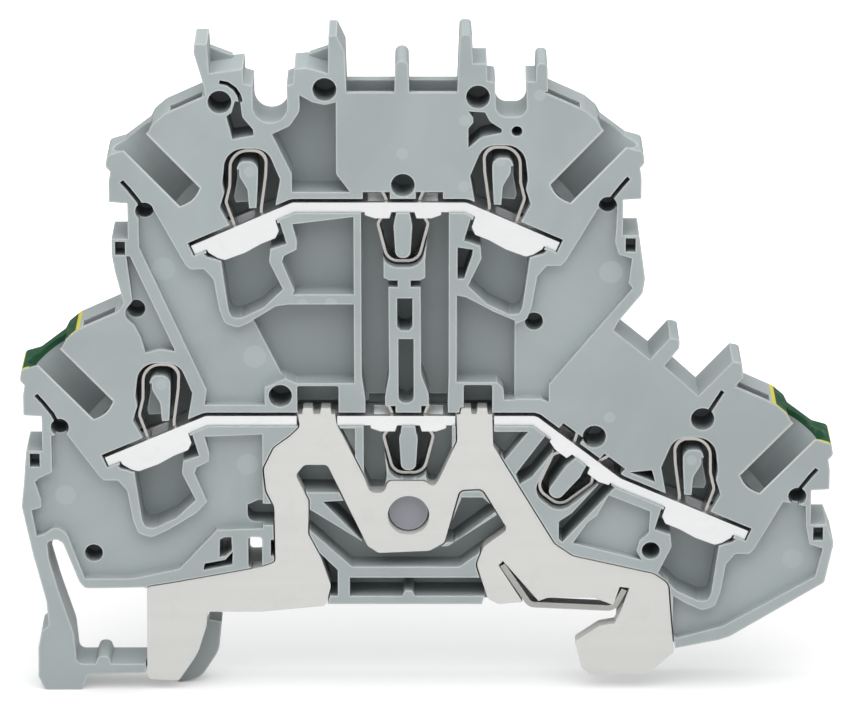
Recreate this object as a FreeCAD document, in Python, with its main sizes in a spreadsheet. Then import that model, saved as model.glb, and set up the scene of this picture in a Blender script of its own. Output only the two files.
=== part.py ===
import FreeCAD, Part
import math
import os

import Sketcher

# Double level terminal block for a 35 mm mounting rail, in millimetres.
# X runs along the block, Y across its width with the open side at -Y, Z up.
# The origin is the middle of the rail seat, on the rail's upper face.

SIZES = {
    # Whole block, and the depths of the hollows behind its open face
    "block_width": 5.2,
    "field_depth": 0.95,
    "middle_depth": 2.0,
    "pocket_depth": 3.4,
    "plate_wall": 0.5,
    "socket_depth": 3.6,
    "socket_radius": 1.0,
    "small_socket_radius": 0.78,
    "vent_radius": 0.45,
    "slit_width": 0.36,
    "peg_height": 1.3,
    "peg_clearance": 0.08,
    "fin_sheet": 1.1,
    # Rail seat
    "rail_width": 35.0,
    "rail_sheet": 1.0,
    "seat_gap": 0.75,
    # The two decks: the upper faces of the busbars
    "upper_deck": 37.1,
    "lower_deck": 17.95,
    "bar_thickness": 0.85,
    "bar_width": 3.4,
    "bar_inset": 0.25,
    "bar_headroom": 0.4,
    "bar_gap": 0.12,
    "bar_back_gap": 0.35,
    "bar_bend": 1.0,
    "ramp_bend": 2.6,
    "window_width": 2.3,
    "window_length": 3.6,
    "lip_drop": 0.55,
    "lip_wall": 0.5,
    # Clamping places, each named by the middle of its spring's loop
    "upper_left_x": -13.5,
    "upper_left_rise": 2.9,
    "upper_right_x": 7.9,
    "upper_right_rise": 3.2,
    "lower_left_x": -21.2,
    "lower_left_rise": 2.95,
    "lower_right_x": 24.45,
    "lower_right_drop": 3.8,
    # Clamp springs and the posts that they hang on
    "spring_sheet": 0.25,
    "loop_radius": 1.5,
    "loop_gap": 0.3,
    "post_radius": 0.8,
    # Wire entries
    "entry_slope": 46.6,
    "entry_radius": 2.1,
    "entry_depth": 1.75,
    "entry_length": 6.6,
    "wire_radius": 1.25,
    "funnel_length": 0.7,
    "wire_reach": 4.6,
    "tool_slot_depth": 1.6,
    "tool_slot_wall": 0.35,
    # Jumper contacts
    "upper_jumper_x": -0.45,
    "lower_jumper_x": 0.0,
    "ramp_jumper_x": 15.4,
    "ramp_start_x": 11.0,
    "ramp_end_x": 18.3,
    "ramp_drop": 5.7,
    "jumper_web": 2.6,
    "jumper_slot": 1.7,
    # Ground foot and its leaf spring
    "foot_thickness": 1.5,
    "foot_inset": 0.1,
    "foot_clearance": 0.12,
    "foot_hole": 1.8,
    "boss_recess": 1.1,
    "leaf_thickness": 0.5,
    "leaf_side_gap": 0.1,
    # Release latch moulded on the housing
    "latch_width": 4.0,
}


def make_sheet(doc):
    """Put every size in a spreadsheet cell with its own alias."""
    sheet = doc.addObject("Spreadsheet::Sheet", "Sizes")
    for row, (alias, value) in enumerate(SIZES.items(), start=1):
        sheet.set(f"A{row}", alias.replace("_", " "))
        sheet.set(f"B{row}", str(value))
        sheet.setAlias(f"B{row}", alias)
    doc.recompute()
    return sheet


# Outlines: a closed loop is a list of corners (x, z) or (x, z, radius)


def corner(point):
    """Split a corner into its position and its rounding radius."""
    radius = point[2] if len(point) > 2 else 0.0
    return FreeCAD.Vector(point[0], point[1], 0.0), radius


def rounded_edges(loop):
    """Turn a loop of corners into lines and arcs, each with its travel direction."""
    count = len(loop)
    bends = []
    for index in range(count):
        here, radius = corner(loop[index])
        before = (corner(loop[index - 1])[0] - here)
        after = (corner(loop[(index + 1) % count])[0] - here)
        if radius <= 0.0:
            bends.append((here, here, None))
            continue
        reach = min(before.Length, after.Length)
        before.normalize()
        after.normalize()
        half = before.getAngle(after) / 2.0
        tangent = min(radius / math.tan(half), 0.499 * reach)
        radius = tangent * math.tan(half)
        centre = here + (before + after).normalize() * (radius / math.sin(half))
        bends.append((here + before * tangent, here + after * tangent, (centre, radius)))
    edges = []
    for index in range(count):
        start, end, arc = bends[index]
        if arc:
            edges.append(corner_arc(start, end, arc[0], arc[1]))
        following = bends[(index + 1) % count][0]
        if end.distanceToPoint(following) > 1e-4:
            edges.append((Part.LineSegment(end, following), False))
    return edges


def corner_arc(start, end, centre, radius):
    """A circular arc from start to end, stored anticlockwise; True when it runs backwards."""
    first = math.atan2(start.y - centre.y, start.x - centre.x)
    last = math.atan2(end.y - centre.y, end.x - centre.x)
    turn = (last - first) % (2.0 * math.pi)
    backwards = turn > math.pi
    if backwards:
        first, last = last, first
    circle = Part.Circle(centre, FreeCAD.Vector(0.0, 0.0, 1.0), radius)
    sweep = (last - first) % (2.0 * math.pi)
    return Part.ArcOfCircle(circle, first, first + sweep), backwards


def strip(path, thickness):
    """The outline of a bent strip of sheet, from the line along its middle."""
    half = thickness / 2.0
    sides = ([], [])
    for index, point in enumerate(path):
        here, radius = corner(point)
        ahead = corner(path[min(index + 1, len(path) - 1)])[0] - here
        behind = here - corner(path[max(index - 1, 0)])[0]
        if index == 0:
            behind = ahead
        if index == len(path) - 1:
            ahead = behind
        into = FreeCAD.Vector(-behind.y, behind.x, 0.0).normalize()
        out = FreeCAD.Vector(-ahead.y, ahead.x, 0.0).normalize()
        mitre = into + out
        mitre = mitre * (1.0 / (1.0 + into.dot(out)))
        left_turn = behind.cross(ahead).z > 0.0
        for side, sign in zip(sides, (1.0, -1.0)):
            spot = here + mitre * (half * sign)
            inner = (sign > 0.0) == left_turn
            bend = radius - half if inner else radius + half
            side.append((spot.x, spot.y, max(bend, 0.0) if radius > 0.0 else 0.0))
    return sides[0] + sides[1][::-1]


def grown(loop, gap):
    """The same closed outline with its sides moved outwards by a gap."""
    spots = [corner(point)[0] for point in loop]
    count = len(loop)
    area = sum(spots[index - 1].cross(spots[index]).z for index in range(count))
    outward = -1.0 if area > 0.0 else 1.0
    larger = []
    for index, here in enumerate(spots):
        behind = (here - spots[index - 1]).normalize()
        ahead = (spots[(index + 1) % count] - here).normalize()
        into = FreeCAD.Vector(-behind.y, behind.x, 0.0) * outward
        out = FreeCAD.Vector(-ahead.y, ahead.x, 0.0) * outward
        spot = here + (into + out) * (gap / (1.0 + into.dot(out)))
        hollow_corner = behind.cross(ahead).z * outward > 0.0
        radius = corner(loop[index])[1] + (-gap if hollow_corner else gap)
        larger.append((spot.x, spot.y, max(radius, 0.0)))
    return larger


def moved(loop, origin, side=1.0, angle=0.0):
    """Carry local corners to a place, turned by an angle; side -1 mirrors them first."""
    cosine = math.cos(math.radians(angle))
    sine = math.sin(math.radians(angle))
    placed = []
    for point in loop:
        x, z = point[0] * side, point[1]
        spot = (origin[0] + x * cosine - z * sine, origin[1] + x * sine + z * cosine)
        placed.append(spot + tuple(point[2:]))
    return placed


def box_loop(left, right, bottom, top, radius=0.0):
    """A rectangle with equal corner rounds."""
    return [(left, bottom, radius), (right, bottom, radius), (right, top, radius), (left, top, radius)]


# Marks that the housing and the foot are drawn from: the rail's edges, the clamping places along
# the block, and the heights of the rail's underside, its upper face, the latch's root and the decks
RAIL_MARKS = (-17.5, 17.5)
PLACE_MARKS = {"lower_left": -21.2, "upper_left": -13.5, "upper_right": 7.9, "lower_right": 24.45}
ROOT, LOWER, UPPER = 5.2, 17.95, 37.1
HEIGHT_MARKS = (-1.0, 0.0, ROOT, LOWER, UPPER)


def carried(value, marks, wanted):
    """Carry a coordinate along with the marks that it was drawn from."""
    if value <= marks[0]:
        return value - marks[0] + wanted[0]
    for index in range(1, len(marks)):
        if value <= marks[index]:
            share = (value - marks[index - 1]) / (marks[index] - marks[index - 1])
            return wanted[index - 1] + share * (wanted[index] - wanted[index - 1])
    return value - marks[-1] + wanted[-1]


def placed(loop):
    """Carry an outline drawn from the marks to the present sizes."""
    size = SIZES
    edge = size["rail_width"] / 2.0
    places = [size[name + "_x"] for name in PLACE_MARKS]
    heights = (-size["rail_sheet"], 0.0, ROOT, size["lower_deck"], size["upper_deck"])
    spots = []
    for x, z, *radius in loop:
        low = carried(x, RAIL_MARKS, (-edge, edge))
        high = carried(x, list(PLACE_MARKS.values()), places)
        share = min(max(z / ROOT, 0.0), 1.0)
        spots.append((low + (high - low) * share, carried(z, HEIGHT_MARKS, heights), *radius))
    return spots


# Bodies, and features on planes parallel to the open face

FRONT = "Sizes.block_width / 2"
CHAMBER_DEPTH = "Sizes.bar_inset + Sizes.bar_width + Sizes.bar_back_gap"


def new_body(doc, label):
    """An empty body whose label names its file."""
    body = doc.addObject("PartDesign::Body", label)
    body.Label = label
    return body


def origin_plane(body, role):
    """One of the body's own origin planes."""
    return next(item for item in body.Origin.OriginFeatures if item.Role == role)


def draw_loops(sketch, loops):
    """Add closed loops to a sketch, each corner joined to the next and held in place."""
    for loop in loops:
        edges = rounded_edges(loop)
        first = sketch.GeometryCount
        sketch.addGeometry([edge for edge, _ in edges], False)
        links = []
        for index, (_, backwards) in enumerate(edges):
            following = (index + 1) % len(edges)
            end = 1 if backwards else 2
            start = 2 if edges[following][1] else 1
            links.append(Sketcher.Constraint("Coincident", first + index, end, first + following, start))
        links += [Sketcher.Constraint("Block", first + index) for index in range(len(edges))]
        sketch.addConstraint(links)


def draw_circles(sketch, centres, radius):
    """Add equal circles whose radius is bound to an expression."""
    for x, z in centres:
        index = sketch.addGeometry(Part.Circle(FreeCAD.Vector(x, z, 0.0), FreeCAD.Vector(0.0, 0.0, 1.0), 1.0),
                                   False)
        sketch.addConstraint(Sketcher.Constraint("DistanceX", index, 3, x))
        sketch.addConstraint(Sketcher.Constraint("DistanceY", index, 3, z))
        size = sketch.addConstraint(Sketcher.Constraint("Radius", index, 1.0))
        sketch.setExpression(f"Constraints[{size}]", radius)


def body_sketch(body, name, height):
    """An empty sketch in a body, on a plane that stands `height` in front of mid-width."""
    sketch = body.newObject("Sketcher::SketchObject", name + "_outline")
    sketch.AttachmentSupport = (origin_plane(body, "XZ_Plane"), [""])
    sketch.MapMode = "FlatFace"
    sketch.setExpression("AttachmentOffset.Base.z", height)
    return sketch


def pad(body, name, sketch, length):
    """Fill a sketch from its plane towards the closed side."""
    feature = body.newObject("PartDesign::Pad", name)
    feature.Profile = sketch
    feature.Reversed = True
    feature.setExpression("Length", length)
    return feature


def pad_loops(body, name, loops, height, length):
    """Sketch and pad closed loops in one step."""
    sketch = body_sketch(body, name, height)
    draw_loops(sketch, loops)
    return pad(body, name, sketch, length)


def pad_circles(body, name, centres, radius, height, length):
    """Sketch and pad equal circles in one step."""
    sketch = body_sketch(body, name, height)
    draw_circles(sketch, centres, radius)
    return pad(body, name, sketch, length)


def face_sketch(doc, name, loops, height, centres, radius):
    """Loops and equal circles on a plane that stands `height` in front of mid-width."""
    sketch = doc.addObject("Sketcher::SketchObject", name + "_outline")
    upright = FreeCAD.Rotation(FreeCAD.Vector(1.0, 0.0, 0.0), 90.0)
    sketch.Placement = FreeCAD.Placement(FreeCAD.Vector(), upright)
    sketch.setExpression("Placement.Base.y", f"-({height})")
    draw_loops(sketch, loops)
    draw_circles(sketch, centres, radius)
    return sketch


def hollow(doc, name, loops, depth, height=FRONT, centres=(), radius="1"):
    """A cutter: outlines on the open face, or behind it, carried `depth` towards the closed side."""
    return prism(doc, name, face_sketch(doc, name, loops, height, centres, radius), depth)


def drawn_hollow(doc, name, loops, depth, **place):
    """A cutter whose outlines are drawn from the marks."""
    return hollow(doc, name, [placed(loop) for loop in loops], depth, **place)


def prism(doc, name, outline, depth):
    """Carry a flat outline `depth` towards the closed side."""
    cutter = doc.addObject("Part::Extrusion", name)
    cutter.Base = outline
    cutter.DirMode = "Custom"
    cutter.Dir = FreeCAD.Vector(0.0, 1.0, 0.0)
    cutter.Solid = True
    cutter.FaceMakerClass = "Part::FaceMakerBullseye"
    cutter.setExpression("LengthFwd", depth)
    return cutter


# The four clamping places and the three jumper places


def stations():
    """Name, middle of the spring loop, and +1 where the wire enters from the left."""
    size = SIZES
    upper, lower = size["upper_deck"], size["lower_deck"]
    return {
        "upper_left": ((size["upper_left_x"], upper + size["upper_left_rise"]), 1.0),
        "upper_right": ((size["upper_right_x"], upper + size["upper_right_rise"]), -1.0),
        "lower_left": ((size["lower_left_x"], lower + size["lower_left_rise"]), 1.0),
        "lower_right": ((size["lower_right_x"], lower - size["lower_right_drop"]), -1.0),
    }


def at_station(name, loop):
    """Carry corners drawn for the upper left clamping place to the named one."""
    origin, side = stations()[name]
    return moved(loop, origin, side)


def round_station(name, loop):
    """The same for walls round a clamping place, which share a change of size with their neighbours."""
    (_, height), side = stations()[name]
    upper = name.startswith("upper")
    height += (UPPER - SIZES["upper_deck"]) if upper else (LOWER - SIZES["lower_deck"])
    return moved(loop, (PLACE_MARKS[name], height), side)


def ramp_angle():
    """Slope of the busbar's ramp on the right, in degrees."""
    size = SIZES
    return -math.degrees(math.atan2(size["ramp_drop"], size["ramp_end_x"] - size["ramp_start_x"]))


def jumper_places():
    """Name, place on the busbar's upper face, and slope of each jumper contact."""
    size = SIZES
    along = size["ramp_jumper_x"] - size["ramp_start_x"]
    ramp_z = size["lower_deck"] + along * math.tan(math.radians(ramp_angle()))
    return {
        "upper": ((size["upper_jumper_x"], size["upper_deck"]), 0.0),
        "lower": ((size["lower_jumper_x"], size["lower_deck"]), 0.0),
        "ramp": ((size["ramp_jumper_x"], ramp_z), ramp_angle()),
    }


# Busbars

BAR_END = (-5.0, -6.75)
UPPER_KINKS = (-9.85, 4.95)
LOWER_KINK = -17.45


def upper_bar_top():
    """Corners along the upper face of the upper busbar."""
    deck = SIZES["upper_deck"]
    bend = SIZES["bar_bend"]
    left = at_station("upper_left", [BAR_END])[0]
    right = at_station("upper_right", [BAR_END])[0]
    return [left, (UPPER_KINKS[0], deck, bend), (UPPER_KINKS[1], deck, bend), right]


def lower_bar_top():
    """Corners along the upper face of the lower busbar."""
    size = SIZES
    deck = size["lower_deck"]
    left = at_station("lower_left", [BAR_END])[0]
    right = at_station("lower_right", [BAR_END])[0]
    return [left, (LOWER_KINK, deck, size["bar_bend"]),
            (size["ramp_start_x"], deck, size["bar_bend"]),
            (size["ramp_end_x"], deck - size["ramp_drop"], size["ramp_bend"]), right]


def shifted_path(path, shift):
    """Move a line of corners sideways, keeping its slopes; a positive shift goes up."""
    outline = strip(path, 2.0 * abs(shift))
    count = len(path)
    return outline[:count] if shift > 0.0 else outline[count:][::-1]


def stretched(path, extra):
    """Lengthen the first and last runs of a path."""
    first, second = corner(path[0])[0], corner(path[1])[0]
    last, previous = corner(path[-1])[0], corner(path[-2])[0]
    start = first + (first - second).normalize() * extra
    end = last + (last - previous).normalize() * extra
    return [(start.x, start.y)] + list(path[1:-1]) + [(end.x, end.y)]


def bar_outline(top):
    """Outline of a busbar seen from the open side."""
    thickness = SIZES["bar_thickness"]
    return strip(shifted_path(top, -thickness / 2.0), thickness)


def bar_slot(top):
    """Outline of the slot that a busbar lies in."""
    size = SIZES
    room = size["bar_thickness"] + size["bar_headroom"]
    middle = shifted_path(top, (size["bar_headroom"] - size["bar_thickness"]) / 2.0)
    return strip(stretched(middle, size["bar_gap"]), room)


WINDOW_MIDDLE = -1.2

# Where the ground foot's two prongs stand in the lower busbar
PRONGS = ((-9.5, -6.25), (4.15, 7.25))

COLLAR = [(-3.75, -6.9), (-3.5, -7.35), (-2.7, -7.85), (-2.1, -8.0, 0.4), (-0.4, -7.35, 0.5),
          (1.0, -6.55, 0.4), (2.2, -6.05), (2.5, -5.4), (2.1, -4.1), (-3.55, -6.6)]


def bar_window(body, name, origin, side, slope):
    """Cut the wire window through a busbar end and the collar drawn down around it."""
    size = SIZES
    sketch = body.newObject("Sketcher::SketchObject", name + "_outline")
    sketch.AttachmentSupport = (origin_plane(body, "XY_Plane"), [""])
    sketch.MapMode = "FlatFace"
    rise = (WINDOW_MIDDLE - BAR_END[0]) * math.tan(math.radians(slope))
    middle = moved([(WINDOW_MIDDLE, BAR_END[1] + rise)], origin, side)[0]
    sketch.AttachmentOffset = FreeCAD.Placement(
        FreeCAD.Vector(middle[0], 0.0, middle[1]),
        FreeCAD.Rotation(FreeCAD.Vector(0.0, 1.0, 0.0), -slope * side))
    half = size["window_length"] / 2.0
    middle_y = (size["bar_width"] - size["block_width"]) / 2.0 + size["bar_inset"]
    edge = size["window_width"] / 2.0
    loop = box_loop(-half, half, middle_y - edge, middle_y + edge, 0.3)
    edges = [item for item, _ in rounded_edges(loop)]
    sketch.addGeometry(edges, False)
    sketch.addConstraint([Sketcher.Constraint("Block", index) for index in range(len(edges))])
    feature = body.newObject("PartDesign::Pocket", name)
    feature.Profile = sketch
    feature.Type = "ThroughAll"
    return feature


def bar_slope(top, first):
    """Slope in degrees of a busbar's first or last run."""
    run = (top[0], top[1]) if first else (top[-1], top[-2])
    return math.degrees(math.atan2(run[1][1] - run[0][1], abs(run[1][0] - run[0][0])))


def jumper_lips(place, angle):
    """The lips drawn down at the front of a jumper place's two slots."""
    size = SIZES
    under = -size["bar_thickness"]
    drop = under - size["lip_drop"]
    lips = []
    for side in (1.0, -1.0):
        lip = [(-3.25, under + 0.1), (-3.25, drop + 0.3), (-2.4, drop), (-1.15, drop), (-0.95, under + 0.1)]
        lips.append(moved(lip, place, side, angle))
    return lips


def jumper_windows(body, name, place, angle):
    """Cut the two slots of a jumper place down through a busbar, either side of its web."""
    size = SIZES
    web = size["jumper_web"] / 2.0
    sketch = body.newObject("Sketcher::SketchObject", name + "_outline")
    sketch.AttachmentSupport = (origin_plane(body, "XY_Plane"), [""])
    sketch.MapMode = "FlatFace"
    turned = moved([(0.0, size["lip_drop"])], place, 1.0, angle)[0]
    sketch.AttachmentOffset = FreeCAD.Placement(
        FreeCAD.Vector(turned[0], 0.0, turned[1]),
        FreeCAD.Rotation(FreeCAD.Vector(0.0, 1.0, 0.0), -angle))
    front = size["bar_inset"] - size["block_width"] / 2.0
    near = front + size["lip_wall"]
    far = front + size["bar_width"] - size["lip_wall"]
    count = 0
    for left, right in ((-web - size["jumper_slot"], -web), (web, web + size["jumper_slot"])):
        edges = [item for item, _ in rounded_edges(box_loop(left, right, near, far))]
        sketch.addGeometry(edges, False)
        count += len(edges)
    sketch.addConstraint([Sketcher.Constraint("Block", index) for index in range(count)])
    feature = body.newObject("PartDesign::Pocket", name)
    feature.Profile = sketch
    feature.Length = size["bar_thickness"] + 3.0 * size["lip_drop"]
    return feature


def busbar(doc, label, top, ends, jumpers):
    """A tinned copper busbar: bent strip, wire collars, jumper lips and their windows."""
    body = new_body(doc, label)
    front = FRONT + " - Sizes.bar_inset"
    pad_loops(body, label + "_strip", [bar_outline(top)], front, "Sizes.bar_width")
    collars = [at_station(name, COLLAR) for name in ends]
    pad_loops(body, label + "_collars", collars, front, "Sizes.bar_width")
    places = jumper_places()
    lips = [lip for name in jumpers for lip in jumper_lips(*places[name])]
    pad_loops(body, label + "_lips", lips, front, "Sizes.lip_wall")
    for name, first in zip(ends, (True, False)):
        origin, side = stations()[name]
        bar_window(body, name + "_window", origin, side, bar_slope(top, first))
    for name in jumpers:
        jumper_windows(body, name + "_jumper_slots", *places[name])
    return body


def notch_for_foot(body):
    """Cut the front edge of the lower busbar where the foot's prongs stand in it."""
    size = SIZES
    deck, gap = size["lower_deck"], size["foot_clearance"]
    loops = []
    for prong in PRONGS:
        left, right = [spot[0] for spot in placed([(x, LOWER) for x in prong])]
        loops.append(box_loop(left - gap, right + gap, deck - 2.0 * size["bar_thickness"], deck + 1.0))
    sketch = body_sketch(body, "foot_notches", FRONT)
    draw_loops(sketch, loops)
    feature = body.newObject("PartDesign::Pocket", "foot_notches")
    feature.Profile = sketch
    feature.setExpression("Length", "Sizes.foot_inset + Sizes.foot_thickness")


# Springs


CLAMP_LEG = [(-1.15, -5.55), (-1.5, -4.5), (-2.0, -3.05, 0.7), (-1.65, -1.6, 1.2)]
BEARING_X = 1.0


def clamp_path(slope):
    """Middle line of a clamp spring: clamping leg, loop, then the leg that bears on the busbar."""
    size = SIZES
    radius = size["loop_radius"]
    loop = [(-radius - 0.08, radius, radius), (radius, radius, radius)]
    touch = BEARING_X + size["spring_sheet"] / 2.0
    bearing = BAR_END[1] + (touch - BAR_END[0]) * math.tan(math.radians(slope))
    return CLAMP_LEG + loop + [(radius - 0.1, -0.7, 1.5), (BEARING_X, -3.6, 1.0), (BEARING_X, bearing)]


def clamp_spring(doc, name, slope):
    """One bent strip spring, hung round its post and standing on the busbar."""
    body = new_body(doc, name + "_clamp_spring")
    outline = at_station(name, strip(clamp_path(slope), SIZES["spring_sheet"]))
    height = FRONT + " - Sizes.bar_inset - (Sizes.bar_width - Sizes.window_width) / 2 - 0.1"
    pad_loops(body, body.Label + "_strip", [outline], height, "Sizes.window_width - 0.2")
    return body


def clamp_springs(doc):
    """The four clamp springs, each with the slope of the busbar end that it stands on."""
    upper, lower = upper_bar_top(), lower_bar_top()
    ends = {"upper_left": (upper, True), "upper_right": (upper, False),
            "lower_left": (lower, True), "lower_right": (lower, False)}
    return [clamp_spring(doc, name, bar_slope(*end)) for name, end in ends.items()]


def jumper_path():
    """Middle line of a jumper spring: a V whose legs press on the web between the slots."""
    size = SIZES
    grip = (size["jumper_web"] + size["spring_sheet"]) / 2.0
    leg = [(1.75, 0.9), (grip, 0.1), (grip, -0.9), (2.15, -2.0, 0.5), (1.3, -5.35, 1.15)]
    return [(-x, *rest) for x, *rest in leg] + leg[::-1]


def jumper_spring(doc, label, name):
    """One V shaped contact spring that grips the jumper's tongues."""
    body = new_body(doc, label)
    place, angle = jumper_places()[name]
    outline = moved(strip(jumper_path(), SIZES["spring_sheet"]), place, 1.0, angle)
    height = FRONT + " - Sizes.bar_inset - Sizes.lip_wall - 0.1"
    pad_loops(body, label + "_strip", [outline], height, "Sizes.bar_width - 2 * Sizes.lip_wall - 0.2")
    return body


# Ground foot

BOSS = (0.0, 8.9)

FOOT_OUTLINE = [
    (-9.5, 18.15), (-9.35, 17.0, 0.4), (-10.2, 16.15, 0.5), (-11.6, 15.1, 1.0), (-12.5, 13.2, 1.0),
    (-12.3, 11.2, 1.0), (-11.6, 9.7, 1.0), (-11.55, 4.6, 0.4), (-12.9, 4.1), (-20.6, 2.65, 0.3),
    (-22.75, 2.3, 0.4), (-22.85, -6.3, 0.5), (-20.1, -6.45, 0.4), (-18.4, -3.9, 5.0), (-17.6, -1.3, 2.0),
    (-17.55, 0.0), (-12.8, 0.0), (-7.2, 0.55, 0.5), (-6.75, 2.4, 0.8), (-7.6, 5.0, 1.0),
    (-8.7, 7.2, 0.8), (-8.65, 10.3, 0.5), (-9.75, 12.6, 0.5), (-9.0, 13.55, 0.5), (-7.0, 13.55, 0.5),
    (-3.55, 6.1, 0.6), (-2.6, 5.45, 0.6), (1.8, 5.65, 0.6), (3.1, 6.4, 0.6), (4.4, 11.25, 0.6),
    (6.4, 11.35, 0.7), (8.6, 7.6, 0.5), (6.5, 6.0, 0.8), (5.9, 4.4, 1.0), (6.9, 1.2, 0.5),
    (7.8, 0.7, 0.5), (9.9, 0.9), (7.8, 4.3), (8.2, 4.7), (10.3, 2.2), (11.3, 1.0),
    (12.1, 1.3, 0.3), (16.1, 1.3, 0.5), (17.8, 0.62), (18.35, 2.3), (19.2, 2.2),
    (18.5, 0.1, 0.3), (17.95, -1.1), (16.6, -1.35, 0.4), (14.5, -2.8, 0.3), (15.1, -5.2, 0.6),
    (15.8, -5.85, 0.5), (20.8, -5.85, 0.8), (23.15, -3.8, 0.4), (22.85, -1.0, 2.0), (22.55, 2.6, 1.0),
    (21.3, 3.5, 1.2), (14.2, 5.15, 0.8), (12.6, 6.3, 0.8), (7.3, 15.3, 0.5), (7.2, 18.15),
    (6.85, 18.15), (6.75, 18.7), (5.95, 18.7), (5.85, 18.15), (5.45, 18.15),
    (5.35, 18.7), (4.55, 18.7), (4.45, 18.15), (4.15, 18.15), (4.2, 15.7, 0.5), (2.75, 12.45),
    (2.2, 11.4, 0.9), (1.35, 12.1, 0.4),
    (-1.75, 12.1, 0.4), (-2.1, 10.95, 0.7), (-3.3, 10.95, 0.7), (-4.0, 12.8, 0.3), (-6.2, 17.3, 0.5),
    (-6.3, 18.15), (-6.6, 18.15), (-6.7, 18.7), (-7.5, 18.7), (-7.6, 18.15),
    (-8.15, 18.15), (-8.25, 18.7), (-9.05, 18.7), (-9.15, 18.15),
]


def ground_foot(doc):
    """The stamped foot that carries the earth current from the lower busbar to the rail."""
    body = new_body(doc, "ground_foot")
    height = FRONT + " - Sizes.foot_inset"
    pad_loops(body, "foot_blank", [placed(FOOT_OUTLINE)], height, "Sizes.foot_thickness")
    hole = body_sketch(body, "foot_hole", height)
    draw_circles(hole, placed([BOSS]), "Sizes.foot_hole")
    feature = body.newObject("PartDesign::Pocket", "foot_hole")
    feature.Profile = hole
    feature.setExpression("Length", "Sizes.foot_thickness")
    return body


LEAF_BAY = [(7.6, 4.9), (8.6, 4.9), (12.2, 1.9), (19.5, 2.9), (19.5, -0.5), (6.0, -0.5)]
LEAF_PATH = [(8.15, 4.3), (10.55, 0.62, 0.8), (17.85, 0.27, 0.9), (18.75, 2.0)]


def foot_spring(doc):
    """The leaf spring that presses the foot's mouth against the rail."""
    body = new_body(doc, "foot_spring")
    height = FRONT + " - Sizes.foot_inset - Sizes.leaf_side_gap"
    pad_loops(body, "leaf", [strip(placed(LEAF_PATH), SIZES["leaf_thickness"])], height,
              "Sizes.foot_thickness - 2 * Sizes.leaf_side_gap")
    return body


# Housing: silhouette

# Shoulder of a clamping place, from the top of its tool slope down to the marker lug
SHOULDER = [
    (-3.6, 6.55), (-7.1, 4.95, 0.5), (-8.1, 4.1, 0.5), (-8.45, 3.4), (-10.6, 1.75),
    (-12.0, 1.35, 0.5), (-12.15, 0.35, 0.4), (-11.75, -0.1), (-11.9, -1.0), (-11.9, -2.8),
    (-10.35, -2.9), (-10.35, -6.05), (-11.75, -6.05),
]

TOP_PROFILE = [
    (-17.2, 47.3), (-18.05, 50.3, 0.4), (-18.0, 51.05), (-16.9, 51.05), (-16.75, 48.5),
    (-13.9, 48.9), (-13.85, 47.6), (-13.1, 47.4), (-13.1, 44.2, 1.45), (-10.15, 44.2, 1.45),
    (-10.25, 47.4), (-9.7, 47.6), (-9.6, 48.9), (-8.5, 49.0, 0.5), (-6.75, 48.5),
    (-6.7, 51.8), (-6.0, 51.8), (-5.3, 50.3), (-5.2, 46.85),
    (-1.15, 46.85), (-1.1, 49.6, 0.57), (0.05, 49.6, 0.57), (0.1, 46.85), (4.15, 46.85),
    (4.35, 51.9, 0.35), (5.35, 51.9, 0.35), (5.5, 49.35), (6.65, 49.35), (6.7, 47.8),
    (7.35, 47.8, 0.4), (7.45, 44.7, 0.95), (10.05, 44.7, 0.95), (9.95, 47.8), (10.75, 47.8),
    (10.8, 49.4, 0.4), (11.75, 49.4, 0.4), (11.8, 46.95),
]

# Right side between the upper and the lower clamping place, with the ramp's jumper slots
RIGHT_PROFILE = [
    (20.05, 31.5, 0.4), (20.2, 30.4, 0.5), (20.0, 29.1, 0.6), (17.95, 26.55), (17.55, 25.75),
    (20.7, 23.15), (22.4, 25.1), (23.25, 24.95, 0.35), (23.2, 24.2), (21.95, 22.55),
    (24.9, 19.85), (27.8, 22.95), (28.6, 22.8, 0.4), (28.75, 21.5),
]

BOTTOM_RIGHT = [
    (36.85, 6.4, 0.6), (36.1, 2.75, 0.5), (28.0, -2.25, 1.5), (27.0, -2.6, 1.0), (22.6, -3.5, 0.5),
]


def bottom_profile():
    """Underside of the housing, from behind the foot's jaw to the latch leg's root."""
    size = SIZES
    seat = size["seat_gap"]
    right = RAIL_MARKS[1] + seat
    return [
        (right, -3.2, 0.5), (right, seat), (-18.6, seat), (-20.6, 1.9), (-22.3, 1.85),
        (-23.0, 2.3), (-28.1, 2.2, 0.6), (-28.6, 2.8, 0.4), (-29.95, 6.4, 0.6), (-30.5, 6.75, 0.5),
        (-31.35, 6.5, 0.4), (-31.2, 4.8),
    ]


LEFT_SIDE = [(-32.45, 4.8), (-33.0, 7.5), (-33.45, 9.8, 0.4), (-33.2, 12.0, 0.5)]
LEFT_WAIST = [(-25.25, 32.5, 0.5), (-25.0, 31.0, 0.5), (-24.3, 28.2)]


def housing_outline():
    """Silhouette of the housing without its latch, clockwise from the upper left."""
    shoulder = {name: round_station(name, SHOULDER) for name in stations()}
    outline = shoulder["upper_left"][::-1]
    outline += TOP_PROFILE
    outline += shoulder["upper_right"]
    outline += RIGHT_PROFILE
    outline += shoulder["lower_right"]
    outline += BOTTOM_RIGHT
    outline += bottom_profile()
    outline += LEFT_SIDE
    outline += shoulder["lower_left"][::-1]
    outline += LEFT_WAIST[::-1]
    return placed(outline)


# Low fins that stand behind the tops of the left marker groove's walls
GRIP_FINS = [
    [(-16.85, 48.3), (-16.85, 49.7), (-14.9, 48.95), (-14.9, 48.3)],
    [(-8.4, 48.3), (-8.4, 49.1), (-6.65, 49.7), (-6.65, 48.3)],
]

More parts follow.
